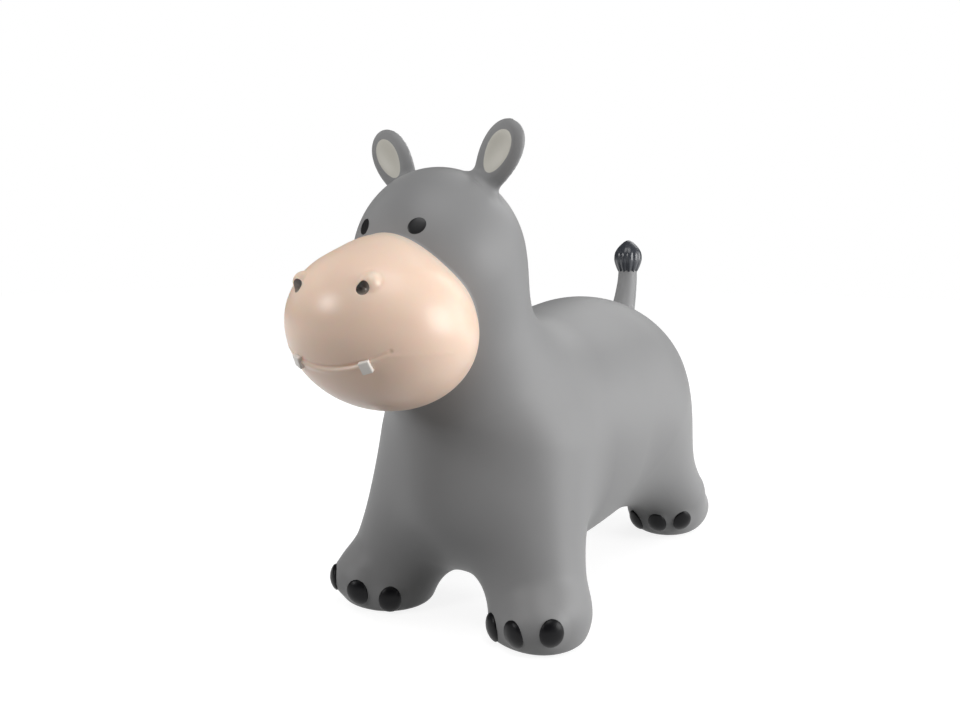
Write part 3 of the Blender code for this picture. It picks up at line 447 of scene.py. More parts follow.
# Balls that stand in for an ear until its surface settles: share of its length, width, thickness
earBalls = ((0.0, 0.9, 1.15), (0.25, 1.05, 1.2), (0.5, 1.15, 1.3), (0.7, 1.05, 1.3))
earBallLength = 0.25


def ballMesh(bm, place, steps):
    bmesh.ops.create_uvsphere(bm, u_segments=steps, v_segments=steps // 2, radius=1, matrix=place)


def addBall(bm, centre, radii, pitch=0.0, steps=surface["ballSteps"]):
    turn = Matrix.Rotation(pitch, 4, "X")
    ballMesh(bm, Matrix.Translation(centre) @ turn @ Matrix.Diagonal((*radii, 1)), steps)


def addTaper(bm, start, end, startRadius, endRadius, side=1):
    for share in np.linspace(0, 1, surface["limbBalls"]):
        centre = Vector(start).lerp(Vector(end), share)
        centre.x *= side
        radius = startRadius + (endRadius - startRadius) * share
        addBall(bm, centre, (radius,) * 3, steps=surface["limbBallSteps"])


def addEar(bm, side):
    turn = Matrix((earSide, (0, 1, 0), earUp)).transposed().to_4x4()
    mirror = Matrix.Diagonal((side, 1, 1, 1))
    for share, across, thick in earBalls:
        size = (ear["halfWidth"] * across, ear["halfThickness"] * thick, ear["length"] * earBallLength, 1)
        place = Matrix.Translation(earFoot + earUp * ear["length"] * share) @ turn @ Matrix.Diagonal(size)
        ballMesh(bm, mirror @ place, surface["ballSteps"])


def roughSkin():
    bm = bmesh.new()
    for mass in ("chest", "rump", "saddle", "head"):
        addBall(bm, *skin[mass])
    addBall(bm, *muzzle["mass"])
    addBall(bm, *muzzle["bridge"])
    addTaper(bm, *skin["neck"])
    addTaper(bm, tailFoot, tailTop, tail["baseRadius"], tail["topRadius"])
    for side in hands.values():
        for leg in legs.values():
            addTaper(bm, *leg["limb"], side)
            centre, radii = leg["foot"]
            addBall(bm, (centre[0] * side, *centre[1:]), radii)
        addEar(bm, side)
        addBall(bm, bossCentre * Vector((side, 1, 1)), (nostril["bossRadius"],) * 3)
    return bm


def objectFrom(name, bm):
    mesh = bpy.data.meshes.new(name)
    bm.to_mesh(mesh)
    bm.free()
    return newObject(name, mesh)


def evaluatedMesh(item):
    bpy.context.view_layer.update()
    return bpy.data.meshes.new_from_object(item.evaluated_get(bpy.context.evaluated_depsgraph_get()))


def pointsOf(bm):
    return np.array([vert.co for vert in bm.verts], float)


def movePoints(bm, points):
    for vert, point in zip(bm.verts, points):
        vert.co = point


# Each round moves every point halfway to its neighbours' middle and lands it on the form again
def settledSkin():
    guide = objectFrom("guide", roughSkin())
    remesh = guide.modifiers.new("Remesh", "REMESH")
    remesh.mode = "VOXEL"
    remesh.voxel_size = surface["grid"]
    mesh = evaluatedMesh(guide)
    bpy.data.objects.remove(guide, do_unlink=True)
    bm = bmesh.new()
    bm.from_mesh(mesh)
    points = pointsOf(bm)
    pairs = np.array([[vert.index for vert in edge.verts] for edge in bm.edges])
    count = np.bincount(pairs.ravel(), minlength=len(points))[:, None]
    first, second = pairs.T
    points = land(wholeForm, points, surface["landRounds"])
    for _ in range(surface["settleRounds"]):
        total = np.stack([np.bincount(first, points[second, axis], len(points))
                          + np.bincount(second, points[first, axis], len(points))
                          for axis in range(3)], axis=1)
        points = land(wholeForm, (points + total / count) / 2, rounds=2)
    movePoints(bm, points)
    bmesh.ops.triangulate(bm, faces=bm.faces[:])
    return bm


# How near each point lies to detail that needs a finer surface
def detailReach(points):
    beside = folded(points)
    crease = np.abs(bodyForm(points) - muzzleForm(points))
    ring = surface["holeRing"]
    hole = np.abs(lengths(beside - np.array(nostrilRim)) - ring) - ring
    gap = mouthReach(beside)[0] - surface["mouthWithin"]
    dished = (beside[:, 2] > surface["dishAbove"]) & (beside[:, 1] < ear["y"])
    dish = np.where(dished, np.abs(earForms(beside)[1]), farAway)
    return np.minimum.reduce([crease, hole, gap, dish])


def refine(bm, reach):
    near = detailReach(pointsOf(bm)) < reach
    edges = [edge for edge in bm.edges if any(near[vert.index] for vert in edge.verts)]
    bmesh.ops.subdivide_edges(bm, edges=edges, cuts=1, use_grid_fill=True)
    bmesh.ops.triangulate(bm, faces=bm.faces[:])
    bm.verts.index_update()
    points = pointsOf(bm)
    near = detailReach(points) < reach * 2
    points[near] = land(wholeForm, points[near], surface["refineRounds"])
    movePoints(bm, points)


bm = settledSkin()
for reach in surface["refineWithin"]:
    refine(bm, reach)
print("skin surface settled:", len(bm.verts), "points")


# Parting the surface into zones
# A field is above zero inside its zone; the surface is cut where it crosses zero
def splitAlong(bm, field):
    bm.verts.index_update()
    values = field(pointsOf(bm))
    values[np.abs(values) < surface["onSeam"]] = surface["onSeam"]
    above = (values > 0).tolist()
    cutting = [edge for edge in bm.edges if above[edge.verts[0].index] != above[edge.verts[1].index]]
    touched = dict.fromkeys(face for edge in cutting for face in edge.link_faces)
    onLine = set()
    for edge in cutting:
        a, b = edge.verts
        share = float(values[a.index] / (values[a.index] - values[b.index]))
        share = min(max(share, surface["endShare"]), 1 - surface["endShare"])
        onLine.add(bmesh.utils.edge_split(edge, a, share)[1])
    for face in touched:
        ends = [vert for vert in face.verts if vert in onLine]
        if len(ends) == 2:
            bmesh.utils.face_split(face, *ends)
    bmesh.ops.triangulate(bm, faces=[face for face in bm.faces if len(face.verts) > 3])


outside = -0.01  # what a field gives where its zone can't be


def legField(leg, side):
    height, out, forward = leg["seam"]
    ankle = leg["limb"][1]
    frontY, rearY = leg["seamFromTo"]

    def field(points):
        x, y, z = points[:, 0] * side, points[:, 1], points[:, 2]
        plane = height + (x - ankle[0]) * out - (y - ankle[1]) * forward - z
        return np.minimum.reduce([plane, x - seamInnerX, y - frontY, rearY - y])
    return field


def earField(side):
    def field(points):
        return (points * (side, 1, 1) - earFoot) @ earUp - ear["seam"]
    return field


def liningField(points):
    beside = folded(points)
    blade, dish = earForms(beside)
    aboveSeam = (beside - earFoot) @ earUp > ear["seam"] + ear["liningAboveSeam"]
    onFront = (beside[:, 1] < ear["y"]) & aboveSeam
    return np.where(onFront, np.minimum(-(blade + dish), ear["liningOverlap"] - dish), outside)


def tailField(points):
    offset = points - tailFoot
    up = offset @ tailUp
    away = lengths(offset - np.outer(up, tailUp))
    inCone = tail["seamRadius"] + np.maximum(up, 0) * tail["seamFlare"] - away
    return np.where(points[:, 1] > tail["seamFrontY"], np.minimum(up - tail["seam"], inCone), outside)


def muzzleField(points):
    return bodyForm(points) - muzzleForm(points)


def holeField(points):
    hole = -(bossedMuzzle(points) + nostrilHole(points))
    return np.where(points[:, 1] < nostril["holeBackY"], hole, outside)


zones = {
    "muzzle": muzzleField,
    "nostrils": holeField,
    "linings": liningField,
    "leftEar": earField(1),
    "rightEar": earField(-1),
    "tail": tailField,
}
for end, leg in legs.items():
    for hand, side in hands.items():
        zones[end + hand.title() + "Leg"] = legField(leg, side)
for field in zones.values():
    splitAlong(bm, field)
bm.verts.index_update()
bm.faces.index_update()
skinPoints = pointsOf(bm)
skinNormals = slope(wholeForm, skinPoints)
skinNormals /= lengths(skinNormals)[:, None]
skinFaces = np.array([[vert.index for vert in face.verts] for face in bm.faces])
bm.free()
middles = skinPoints[skinFaces].mean(axis=1)
inZone = {name: field(middles) > 0 for name, field in zones.items()}
print("skin parted:", len(skinFaces), "triangles")


# The open rims of some triangles, each as a ring of point numbers
def openRims(tris):
    directed = {(face[i], face[(i + 1) % 3]) for face in tris for i in range(3)}
    after = {}
    for a, b in sorted(directed):
        if (b, a) not in directed:
            after.setdefault(b, []).append(a)
    rims = []
    while after:
        first = here = min(after)
        rim = []
        while here in after:
            rim.append(here)
            ahead = after[here].pop()
            if not after[here]:
                del after[here]
            here = ahead
            if here == first:
                break
        rims.append(rim)
    return rims


# A piece from some of the surface's faces; its open rims are closed a little way inside
def zonePiece(name, chosen, sink=0.003):
    faces = skinFaces[chosen]
    used, corners = np.unique(faces, return_inverse=True)
    points = skinPoints[used].tolist()
    tris = corners.reshape(-1, 3).tolist()
    normals = skinNormals[faces].reshape(-1, 3).tolist()
    for rim in openRims(tris):
        inward = -np.mean([skinNormals[used[index]] for index in rim], axis=0)
        middle = np.array([points[index] for index in rim]).mean(axis=0) + inward * sink
        centre = len(points)
        points.append(middle.tolist())
        for index in range(len(rim)):
            tri = (rim[index], rim[(index + 1) % len(rim)], centre)
            tris.append(tri)
            a, b, c = (Vector(points[i]) for i in tri)
            normals += [(b - a).cross(c - a).normalized()] * 3
    mesh = bpy.data.meshes.new(name)
    mesh.from_pydata(points, [], tris)
    mesh.update()
    mesh.shade_smooth()
    mesh.normals_split_custom_set(normals)
    return newObject(name, mesh)


# Finishes
def newMaterial(name):
    material = bpy.data.materials.new(name)
    material.use_nodes = True
    return material, material.node_tree, material.node_tree.nodes["Principled BSDF"]


def addNode(tree, kind, inputs=(), **settings):
    node = tree.nodes.new(kind)
    for key, value in settings.items():
        setattr(node, key, value)
    for socket, value in dict(inputs).items():
        if isinstance(value, bpy.types.NodeSocket):
            tree.links.new(value, node.inputs[socket])
        else:
            node.inputs[socket].default_value = value
    return node


def noise(tree, place, size, detail, roughness):
    sizes = {"Vector": place, "Scale": 1 / size, "Detail": detail, "Roughness": roughness}
    return addNode(tree, "ShaderNodeTexNoise", sizes).outputs["Fac"]


def mixColours(tree, share, dark, light):
    mix = addNode(tree, "ShaderNodeMix", {"Factor": share, 6: (*dark, 1), 7: (*light, 1)}, data_type="RGBA")
    return mix.outputs[2]


def setGloss(tree, shader, share, least, most):
    gloss = addNode(tree, "ShaderNodeMapRange", {"Value": share, "To Min": least, "To Max": most})
    tree.links.new(gloss.outputs["Result"], shader.inputs["Roughness"])


# What all the PVC here shares; "waxiness" lets light a little way into the skin
pvc = {"cloudSize": 0.035, "glossSpread": 0.05, "coatRoughness": 0.25,
       "waxRadius": (1.0, 0.35, 0.18), "waxScale": 0.03}
looks = {
    "softGrey": {"colour": (0.254, 0.254, 0.256), "cloud": 0.03, "roughness": 0.50,
                 "grain": 0.12, "specular": 0.35},
    "satinPeach": {"colour": (0.91, 0.69, 0.548), "cloud": 0.02, "roughness": 0.34,
                   "grain": 0.05, "grainSize": 0.0012, "coat": 0.12, "specular": 0.4, "waxiness": 0.3},
    "creamLining": {"colour": (0.56, 0.54, 0.475), "cloud": 0.04, "roughness": 0.42,
                    "grain": 0.08, "coat": 0.1},
    "paintedBlack": {"colour": (0.012, 0.012, 0.013), "cloud": 0.1, "roughness": 0.38,
                     "grain": 0.08, "specular": 0.4},
    "nailBlack": {"colour": (0.004, 0.004, 0.005), "cloud": 0.1, "roughness": 0.38,
                  "grain": 0.06, "specular": 0.2},
    "tuftCharcoal": {"colour": (0.040, 0.044, 0.053), "cloud": 0.1, "roughness": 0.30,
                     "grain": 0.06, "coat": 0.2},
    "tuskWhite": {"colour": (0.84, 0.80, 0.75), "cloud": 0.03, "roughness": 0.34,
                  "grain": 0.05, "coat": 0.1},
    "valveWhite": {"colour": (0.70, 0.70, 0.67), "cloud": 0.03, "roughness": 0.42,
                   "grain": 0.06, "grainSize": 0.0008},
}
# The cup's pale colour is partly its own grey and partly a painted reflection
cupLook = {"black": (0.012, 0.011, 0.011), "paleAndReflection": (0.34, 0.29, 0.25), "roughness": (0.38, 0.22)}


# Moulded PVC: a slightly cloudy colour, a fine grain and a gloss that varies a little
def mouldedFinish(name, colour, cloud, roughness, grain, grainSize=0.0009,
                  coat=0.0, specular=0.5, waxiness=0.0):
    material, tree, shader = newMaterial(name)
    place = addNode(tree, "ShaderNodeTexCoord").outputs["Object"]
    wide = noise(tree, place, pvc["cloudSize"], detail=3.0, roughness=0.55)
    fine = noise(tree, place, grainSize, detail=2.0, roughness=0.6)
    dark = tuple(channel * (1 - cloud) for channel in colour)
    light = tuple(min(channel * (1 + cloud), 1.0) for channel in colour)
    tree.links.new(mixColours(tree, wide, dark, light), shader.inputs["Base Color"])
    setGloss(tree, shader, wide, roughness - pvc["glossSpread"], roughness + pvc["glossSpread"])
    bump = addNode(tree, "ShaderNodeBump", {"Height": fine, "Strength": grain, "Distance": grainSize / 4})
    tree.links.new(bump.outputs["Normal"], shader.inputs["Normal"])
    for socket, value in {
            "Specular IOR Level": specular, "Coat Weight": coat, "Coat Roughness": pvc["coatRoughness"],
            "Subsurface Weight": waxiness, "Subsurface Radius": pvc["waxRadius"],
            "Subsurface Scale": pvc["waxScale"]}.items():
        shader.inputs[socket].default_value = value
    return material


# Nostril cups: black paint round a paler, glossier hollow, by the attribute each cup carries. The pale spot
# is partly the hollow's own grey and partly a painted reflection.
def cupFinish():
    material, tree, shader = newMaterial("nostrilCup")
    paleAndReflection = addNode(tree, "ShaderNodeAttribute", attribute_name="paleAndReflection").outputs["Fac"]
    tree.links.new(mixColours(tree, paleAndReflection, cupLook["black"], cupLook["paleAndReflection"]), shader.inputs["Base Color"])
    setGloss(tree, shader, paleAndReflection, *cupLook["roughness"])
    return material


finishes = {name: mouldedFinish(name, **look) for name, look in looks.items()}
finishes["nostrilCup"] = cupFinish()


# Gives a piece its finish and hides the nodes it replaces; its slot is not used
def dress(item, finish, slot, *nodes):
    item.data.materials.clear()
    item.data.materials.append(finishes[finish])
    if nodes:
        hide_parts(*nodes)


print("finishes mixed")

# Skin pieces, some of them on their bodies; where zones overlap, the first named here has the face
claimed = np.zeros(len(skinFaces), bool)
for name in dict.fromkeys(("nostrils", "linings", *zones)):
    inZone[name] &= ~claimed
    claimed |= inZone[name]


# How pale each point of a nostril cup is: full in a spot low on the outer side of its hollow, none at its
# rim. The spot is partly the hollow's own grey and partly a painted reflection, put where a reflection would
# fall.
def paleAndReflectionOnCup(item, side):
    points = np.array([vert.co for vert in item.data.vertices]) * (side, 1, 1)
    outward = np.array(nostrilOut)
    across = np.cross((0, 0, 1), outward)
    across /= np.linalg.norm(across)
    upward = np.cross(outward, across)
    offset = points - np.array(nostrilRim)
    spot = np.stack([offset @ across, offset @ upward], axis=1) - nostril["paleAndReflectionSpot"]
    share = np.clip(nostril["paleAndReflectionSpread"] - lengths(spot) / nostril["paleAndReflectionRadius"], 0, 1)
    paleAndReflection = item.data.attributes.new("paleAndReflection", "FLOAT", "POINT")
    paleAndReflection.data.foreach_set("value", (share * share * (3 - 2 * share)).astype(np.float32))


bodySkin = zonePiece("bodySkin", ~claimed)
dress(bodySkin, "softGrey", "grey_skin", "torso_skin", "head_skin")
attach(bodySkin, "torso")

muzzleSkin = zonePiece("muzzleSkin", inZone["muzzle"], sink=0.009)
dress(muzzleSkin, "satinPeach", "peach_muzzle", "muzzle_skin")
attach(muzzleSkin, "torso")

for hand, side in hands.items():
    chosen = middles[:, 0] * side > 0
    cup = zonePiece("nostril" + hand.title(), inZone["nostrils"] & chosen, sink=0.007)
    paleAndReflectionOnCup(cup, side)
    dress(cup, "nostrilCup", "black_gloss", "nostril_" + hand)
    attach(cup, "torso")
    mirror = np.array((side, 1, 1))
    blade = zonePiece("ear" + hand.title(), inZone[hand + "Ear"], sink=0.006)
    dress(blade, "softGrey", "grey_skin", "ear_" + hand)
    start = (earFoot + earUp * ear["seam"]) * mirror
    end = (earFoot + earUp * ear["bendEnd"]) * mirror
    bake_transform(blade)
    lining = zonePiece("earLining" + hand.title(), inZone["linings"] & chosen, sink=0.005)
    dress(lining, "creamLining", "cream_ear", "ear_" + hand + "_lining")
    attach(lining, hand + "_ear")
    for legName, leg in legs.items():
        name = legName + hand.title() + "Leg"
        item = zonePiece(name, inZone[name])
        dress(item, "softGrey", "grey_skin", legName + "_" + hand + "_leg")
        height, out, forward = leg["seam"]
        end = Vector((leg["limb"][1][0] * side, leg["limb"][1][1], height))
        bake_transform(item)

tailStem = zonePiece("tailStem", inZone["tail"], sink=0.001)
dress(tailStem, "softGrey", "grey_skin", "tail_stem")
start, end = tailFoot + tailUp * tail["seam"], tailFoot + tailUp * tail["bendEnd"]
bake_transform(tailStem)
print("skin pieces placed")


# Node trees that shape a mesh, with an input for each size
def newTree(name, sizes):
    kinds = {float: "Float", int: "Int", tuple: "Vector"}
    tree = bpy.data.node_groups.new(name, "GeometryNodeTree")
    tree.interface.new_socket("Geometry", in_out="INPUT", socket_type="NodeSocketGeometry")
    for label, size in sizes.items():
        kind = kinds.get(type(size), "Object")
        socket = tree.interface.new_socket(label, in_out="INPUT", socket_type="NodeSocket" + kind)
        if kind != "Object":
            socket.default_value = size
    tree.interface.new_socket("Geometry", in_out="OUTPUT", socket_type="NodeSocketGeometry")
    return tree, tree.nodes.new("NodeGroupInput").outputs, tree.nodes.new("NodeGroupOutput").inputs


def endTree(tree, made, shape):
    smooth = addNode(tree, "GeometryNodeSetShadeSmooth", {"Geometry": shape})
    tree.links.new(smooth.outputs[0], made[0])
    return tree


def runTree(item, tree, sizes):
    change = item.modifiers.new(tree.name, "NODES")
    change.node_group = tree
    for socket in tree.interface.items_tree:
        if socket.name in sizes:
            change[socket.identifier] = sizes[socket.name]
    mesh = evaluatedMesh(item)
    item.modifiers.clear()
    item.data = mesh


def maths(tree, operation, a, b=0.0):
    return addNode(tree, "ShaderNodeMath", {0: a, 1: b}, operation=operation).outputs[0]


def times(tree, a, b):
    return maths(tree, "MULTIPLY", a, b)


def vectorFrom(tree, x, y, z):
    return addNode(tree, "ShaderNodeCombineXYZ", {"X": x, "Y": y, "Z": z}).outputs[0]


def vectorMaths(tree, operation, inputs):
    return addNode(tree, "ShaderNodeVectorMath", inputs, operation=operation).outputs[0]


def positionParts(tree):
    place = addNode(tree, "GeometryNodeInputPosition").outputs[0]
    return addNode(tree, "ShaderNodeSeparateXYZ", {0: place}).outputs


def setPosition(tree, shape, place):
    return addNode(tree, "GeometryNodeSetPosition", {"Geometry": shape, "Position": place}).outputs[0]


# Toenails
nails = {"halfWidth": 0.0107, "halfHeight": 0.0138, "rise": 0.0026, "sink": 0.0012,
         "crownPower": 0.75, "steps": 40}


# Oval domes laid on the feet: each point drops onto the skin and then stands off it by its own rise
def nailTree(sizes):
    tree, given, made = newTree("nailsOnFeet", sizes)
    steps = nails["steps"]
    sphere = addNode(tree, "GeometryNodeMeshUVSphere",
                     {"Segments": steps, "Rings": steps // 2, "Radius": 1.0})
    parts = positionParts(tree)
    upper = maths(tree, "MAXIMUM", parts["Z"])
    lower = maths(tree, "MINIMUM", parts["Z"])
    crown = times(tree, maths(tree, "POWER", upper, nails["crownPower"]), given["Rise"])
    rise = maths(tree, "ADD", crown, times(tree, lower, given["Sink"]))
    kept = addNode(tree, "GeometryNodeStoreNamedAttribute",
                   {"Geometry": sphere.outputs["Mesh"], "Name": "rise", "Value": rise},
                   data_type="FLOAT", domain="POINT")
    wide = times(tree, parts["X"], given["Half Width"])
    tall = times(tree, parts["Y"], given["Half Height"])
    disc = setPosition(tree, kept.outputs[0], vectorFrom(tree, wide, tall, 0.0))
    points = addNode(tree, "GeometryNodeMeshToPoints", {"Mesh": given["Geometry"]})
    facing = addNode(tree, "GeometryNodeInputNamedAttribute", {"Name": "facing"}, data_type="FLOAT_VECTOR")
    turn = addNode(tree, "FunctionNodeAlignRotationToVector",
                   {"Vector": facing.outputs["Attribute"]}, axis="Z")
    upright = addNode(tree, "FunctionNodeAlignRotationToVector",
                      {"Rotation": turn.outputs[0], "Vector": (0, 0, 1)}, axis="Y", pivot_axis="Z")
    laid = addNode(tree, "GeometryNodeInstanceOnPoints",
                   {"Points": points.outputs[0], "Instance": disc, "Rotation": upright.outputs[0]})
    solid = addNode(tree, "GeometryNodeRealizeInstances", {"Geometry": laid.outputs[0]})
    skinShape = addNode(tree, "GeometryNodeObjectInfo", {"Object": given["Skin"]},
                        transform_space="RELATIVE").outputs["Geometry"]
    near = addNode(tree, "GeometryNodeProximity", {"Geometry": skinShape}, target_element="FACES")
    normal = addNode(tree, "GeometryNodeInputNormal").outputs[0]
    out = addNode(tree, "GeometryNodeSampleNearestSurface", {"Mesh": skinShape, "Value": normal},
                  data_type="FLOAT_VECTOR")
    height = addNode(tree, "GeometryNodeInputNamedAttribute", {"Name": "rise"}, data_type="FLOAT")
    lift = vectorMaths(tree, "SCALE", {0: out.outputs[0], "Scale": height.outputs["Attribute"]})
    seat = vectorMaths(tree, "ADD", {0: near.outputs["Position"], 1: lift})
    return endTree(tree, made, setPosition(tree, solid.outputs[0], seat))


def feetSkin():
    bm = bmesh.new()
    for end in legs:
        for hand in hands:
            bm.from_mesh(bpy.data.objects[end + hand.title() + "Leg"].data)
    return objectFrom("feet", bm)


# The nails of two feet
def makeNails(end, leg, tree, sizes):
    places, facings, nodes = [], [], []
    for hand, side in hands.items():
        for label, place, out in nailPlaces[end]:
            places.append((place.x * side, place.y, place.z))
            facings.append((out.x * side, out.y, out.z))
            nodes.append(f"{end}_{hand}_{label}_toenail")
    mesh = bpy.data.meshes.new(end + "Toenails")
    mesh.from_pydata(places, [], [])
    facing = mesh.attributes.new("facing", "FLOAT_VECTOR", "POINT")
    facing.data.foreach_set("vector", np.array(facings, np.float32).ravel())
    item = newObject(end + "Toenails", mesh)
    runTree(item, tree, sizes)
    dress(item, "nailBlack", "black_gloss", *nodes)
    height, out, forward = leg["seam"]
    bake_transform(item)


feet = feetSkin()
nailSizes = {"Half Width": nails["halfWidth"], "Half Height": nails["halfHeight"],
             "Rise": nails["rise"], "Sink": nails["sink"], "Skin": feet}
nailShape = nailTree(nailSizes)
for end, leg in legs.items():
    makeNails(end, leg, nailShape, nailSizes)
bpy.data.objects.remove(feet, do_unlink=True)
print("toenails laid")

# Eyes
eyes = {
    "x": 0.0262, "z": 0.3615, "tilt": math.radians(38),
    "halfWidth": 0.0079, "halfHeight": 0.0064, "rise": 0.0005, "sink": 0.0006,
    "domePower": 4, "rings": 14, "steps": 64, "edgeAngle": math.radians(50),
}


# A thin oval dome on the brow's curve: rings of points landed on the skin and lifted off it
def makeEye(name, place, out, tilt):
    rings, steps = eyes["rings"], eyes["steps"]
    across = out.cross(Vector((0, 0, 1))).normalized()
    across = Matrix.Rotation(tilt, 3, out) @ across
    along = out.cross(across)
    shares = [math.sin(math.pi / 2 * (index + 1) / rings) for index in range(rings)]
    turns = [2 * math.pi * step / steps for step in range(steps)]
    flat = [np.array(place)] + [
        np.array(place + across * (eyes["halfWidth"] * share * math.cos(turn))
                 + along * (eyes["halfHeight"] * share * math.sin(turn)))
        for share in shares for turn in turns]
    base = land(plainBody, np.array(flat), rounds=5)
    outward = slope(plainBody, base)
    outward /= lengths(outward)[:, None]
    share = np.append(0.0, np.repeat(shares, steps))
    dome = np.sqrt(np.clip(1 - share ** eyes["domePower"], 0, 1)) * eyes["rise"]
    bm = bmesh.new()
    top = [bm.verts.new(point) for point in base + outward * dome[:, None]]
    foot = bm.verts.new(base[0] - outward[0] * eyes["sink"])
    last = 1 + (rings - 1) * steps
    for step in range(steps):
        after = (step + 1) % steps
        bm.faces.new((top[0], top[1 + step], top[1 + after]))
        for a in range(1, last, steps):
            bm.faces.new((top[a + step], top[a + steps + step], top[a + steps + after], top[a + after]))
        bm.faces.new((foot, top[last + after], top[last + step]))
    bmesh.ops.recalc_face_normals(bm, faces=bm.faces)
    item = objectFrom(name, bm)
    item.data.shade_smooth()
    item.data.set_sharp_from_angle(angle=eyes["edgeAngle"])
    return item


for hand, side in hands.items():
    place, out = meet(plainBody, (eyes["x"] * side, faceFrom, eyes["z"]), (0, 1, 0))
    eye = makeEye("eye" + hand.title(), place, out, side * eyes["tilt"])
    dress(eye, "paintedBlack", "black_gloss", "eye_" + hand)
    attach(eye, "torso")
print("eyes placed")

# Tusks
tusks = {
    "width": 0.0085, "height": 0.0100, "depth": 0.0029, "round": 0.0008, "roundSteps": 4,
    "tilt": math.radians(18), "topRise": 0.001,
}


# A rounded block whose back half is in the muzzle
def makeTusk(name, side):
    line = Vector(mouthPlace(mouth["tuskX"] * side))
    out = Vector(slope(bossedMuzzle, np.array([line]))[0]).normalized()
    across = Vector((0, 0, 1)).cross(out).normalized()
    down = -out.cross(across)
    spin = Matrix.Rotation(side * tusks["tilt"], 3, out)
    across, down = spin @ across, spin @ down
    centre = line + down * (tusks["height"] / 2 - tusks["topRise"])
    turn = Matrix((across, down, out)).transposed().to_4x4()
    size = Matrix.Diagonal((tusks["width"], tusks["height"], tusks["depth"] * 2, 1))
    bm = bmesh.new()
    bmesh.ops.create_cube(bm, size=1, matrix=Matrix.Translation(centre) @ turn @ size)
    bmesh.ops.recalc_face_normals(bm, faces=bm.faces)
    item = objectFrom(name, bm)
    soft = item.modifiers.new("Bevel", "BEVEL")
    soft.width = tusks["round"]
    soft.segments = tusks["roundSteps"]
    soft.limit_method = "NONE"
    item.data = evaluatedMesh(item)
    item.modifiers.clear()
    item.data.shade_smooth()
    return item


for hand, side in hands.items():
    tusk = makeTusk("tusk" + hand.title(), side)
    dress(tusk, "tuskWhite", "white_tusk", "tusk_" + hand)
    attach(tusk, "torso")
print("tusks placed")

# Tail tuft; "profile" is its radius and "fluteRun" its flutes' depth, as shares, at each share of its height
tuft = {
    "radius": 0.0174, "height": 0.0405,
    "flutes": 12, "fluteDepth": 0.055, "flutePower": 2.0,
    "scallop": 0.0010, "scallopPower": 8.0,
    "steps": 176, "rows": 56, "seamMerge": 0.00002,
    "profile": ((0.0, 0.0), (0.012, 0.58), (0.035, 0.68), (0.10, 0.78), (0.22, 0.90),
                (0.36, 0.99), (0.46, 1.0), (0.58, 0.965), (0.70, 0.84), (0.81, 0.645),
                (0.90, 0.43), (0.965, 0.23), (1.0, 0.0)),
    "fluteRun": ((0.0, 0.6), (0.08, 1.0), (0.45, 1.0), (0.62, 0.6), (0.78, 0.2), (1.0, 0.0)),
}


def curveOf(tree, value, knots):
    node = addNode(tree, "ShaderNodeFloatCurve", {"Value": value})
    curve = node.mapping.curves[0]
    curve.points[0].location, curve.points[1].location = knots[0], knots[-1]
    for knot in knots[1:-1]:
        curve.points.new(*knot)
    node.mapping.update()
    return node.outputs[0]


# A fluted onion: a grid rolled round the axis, its radius from a profile and a wave for the flutes
def tuftTree(sizes):
    tree, given, made = newTree("flutedTuft", sizes)
    grid = addNode(tree, "GeometryNodeMeshGrid", {
        "Size X": 1.0, "Size Y": 1.0, "Vertices X": tuft["steps"] + 1, "Vertices Y": tuft["rows"]})
    parts = positionParts(tree)
    angle = times(tree, parts["X"], 2 * math.pi)
    up = maths(tree, "ADD", parts["Y"], 0.5)
    profile = curveOf(tree, up, tuft["profile"])
    fluteRun = curveOf(tree, up, tuft["fluteRun"])
    wave = maths(tree, "COSINE", times(tree, angle, given["Flutes"]))
    dip = times(tree, maths(tree, "SUBTRACT", 1.0, wave), 0.5)
    dip = maths(tree, "POWER", dip, tuft["flutePower"])
    depth = times(tree, times(tree, dip, given["Flute Depth"]), fluteRun)
    plain = times(tree, profile, given["Radius"])
    radius = times(tree, plain, maths(tree, "SUBTRACT", 1.0, depth))
    nearFoot = maths(tree, "POWER", maths(tree, "SUBTRACT", 1.0, up), tuft["scallopPower"])
    hang = times(tree, times(tree, wave, given["Scallop"]), nearFoot)
    height = maths(tree, "SUBTRACT", times(tree, up, given["Height"]), hang)
    x = times(tree, radius, maths(tree, "COSINE", angle))
    y = times(tree, radius, maths(tree, "SINE", angle))
    raised = vectorMaths(tree, "ADD", {0: vectorFrom(tree, x, y, height), 1: given["Foot"]})
    rolled = setPosition(tree, grid.outputs["Mesh"], raised)
    closed = addNode(tree, "GeometryNodeMergeByDistance", {"Geometry": rolled, "Distance": tuft["seamMerge"]})
    return endTree(tree, made, closed.outputs[0])


tuftPiece = newObject("tailTuft", bpy.data.meshes.new("tailTuft"))
tuftSizes = {"Radius": tuft["radius"], "Height": tuft["height"], "Flutes": tuft["flutes"],
             "Flute Depth": tuft["fluteDepth"], "Scallop": tuft["scallop"], "Foot": tuple(tailTop)}
runTree(tuftPiece, tuftTree(tuftSizes), tuftSizes)
bm = bmesh.new()
bm.from_mesh(tuftPiece.data)
bmesh.ops.recalc_face_normals(bm, faces=bm.faces)
bm.to_mesh(tuftPiece.data)
bm.free()
dress(tuftPiece, "tuftCharcoal", "charcoal_tuft", "tail_tuft")
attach(tuftPiece, "tail")
print("tuft turned")

# Valve, carried over from the CAD model
for node in ("valve_body", "valve_plug"):
    dress(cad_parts[node], "valveWhite", "white_valve")

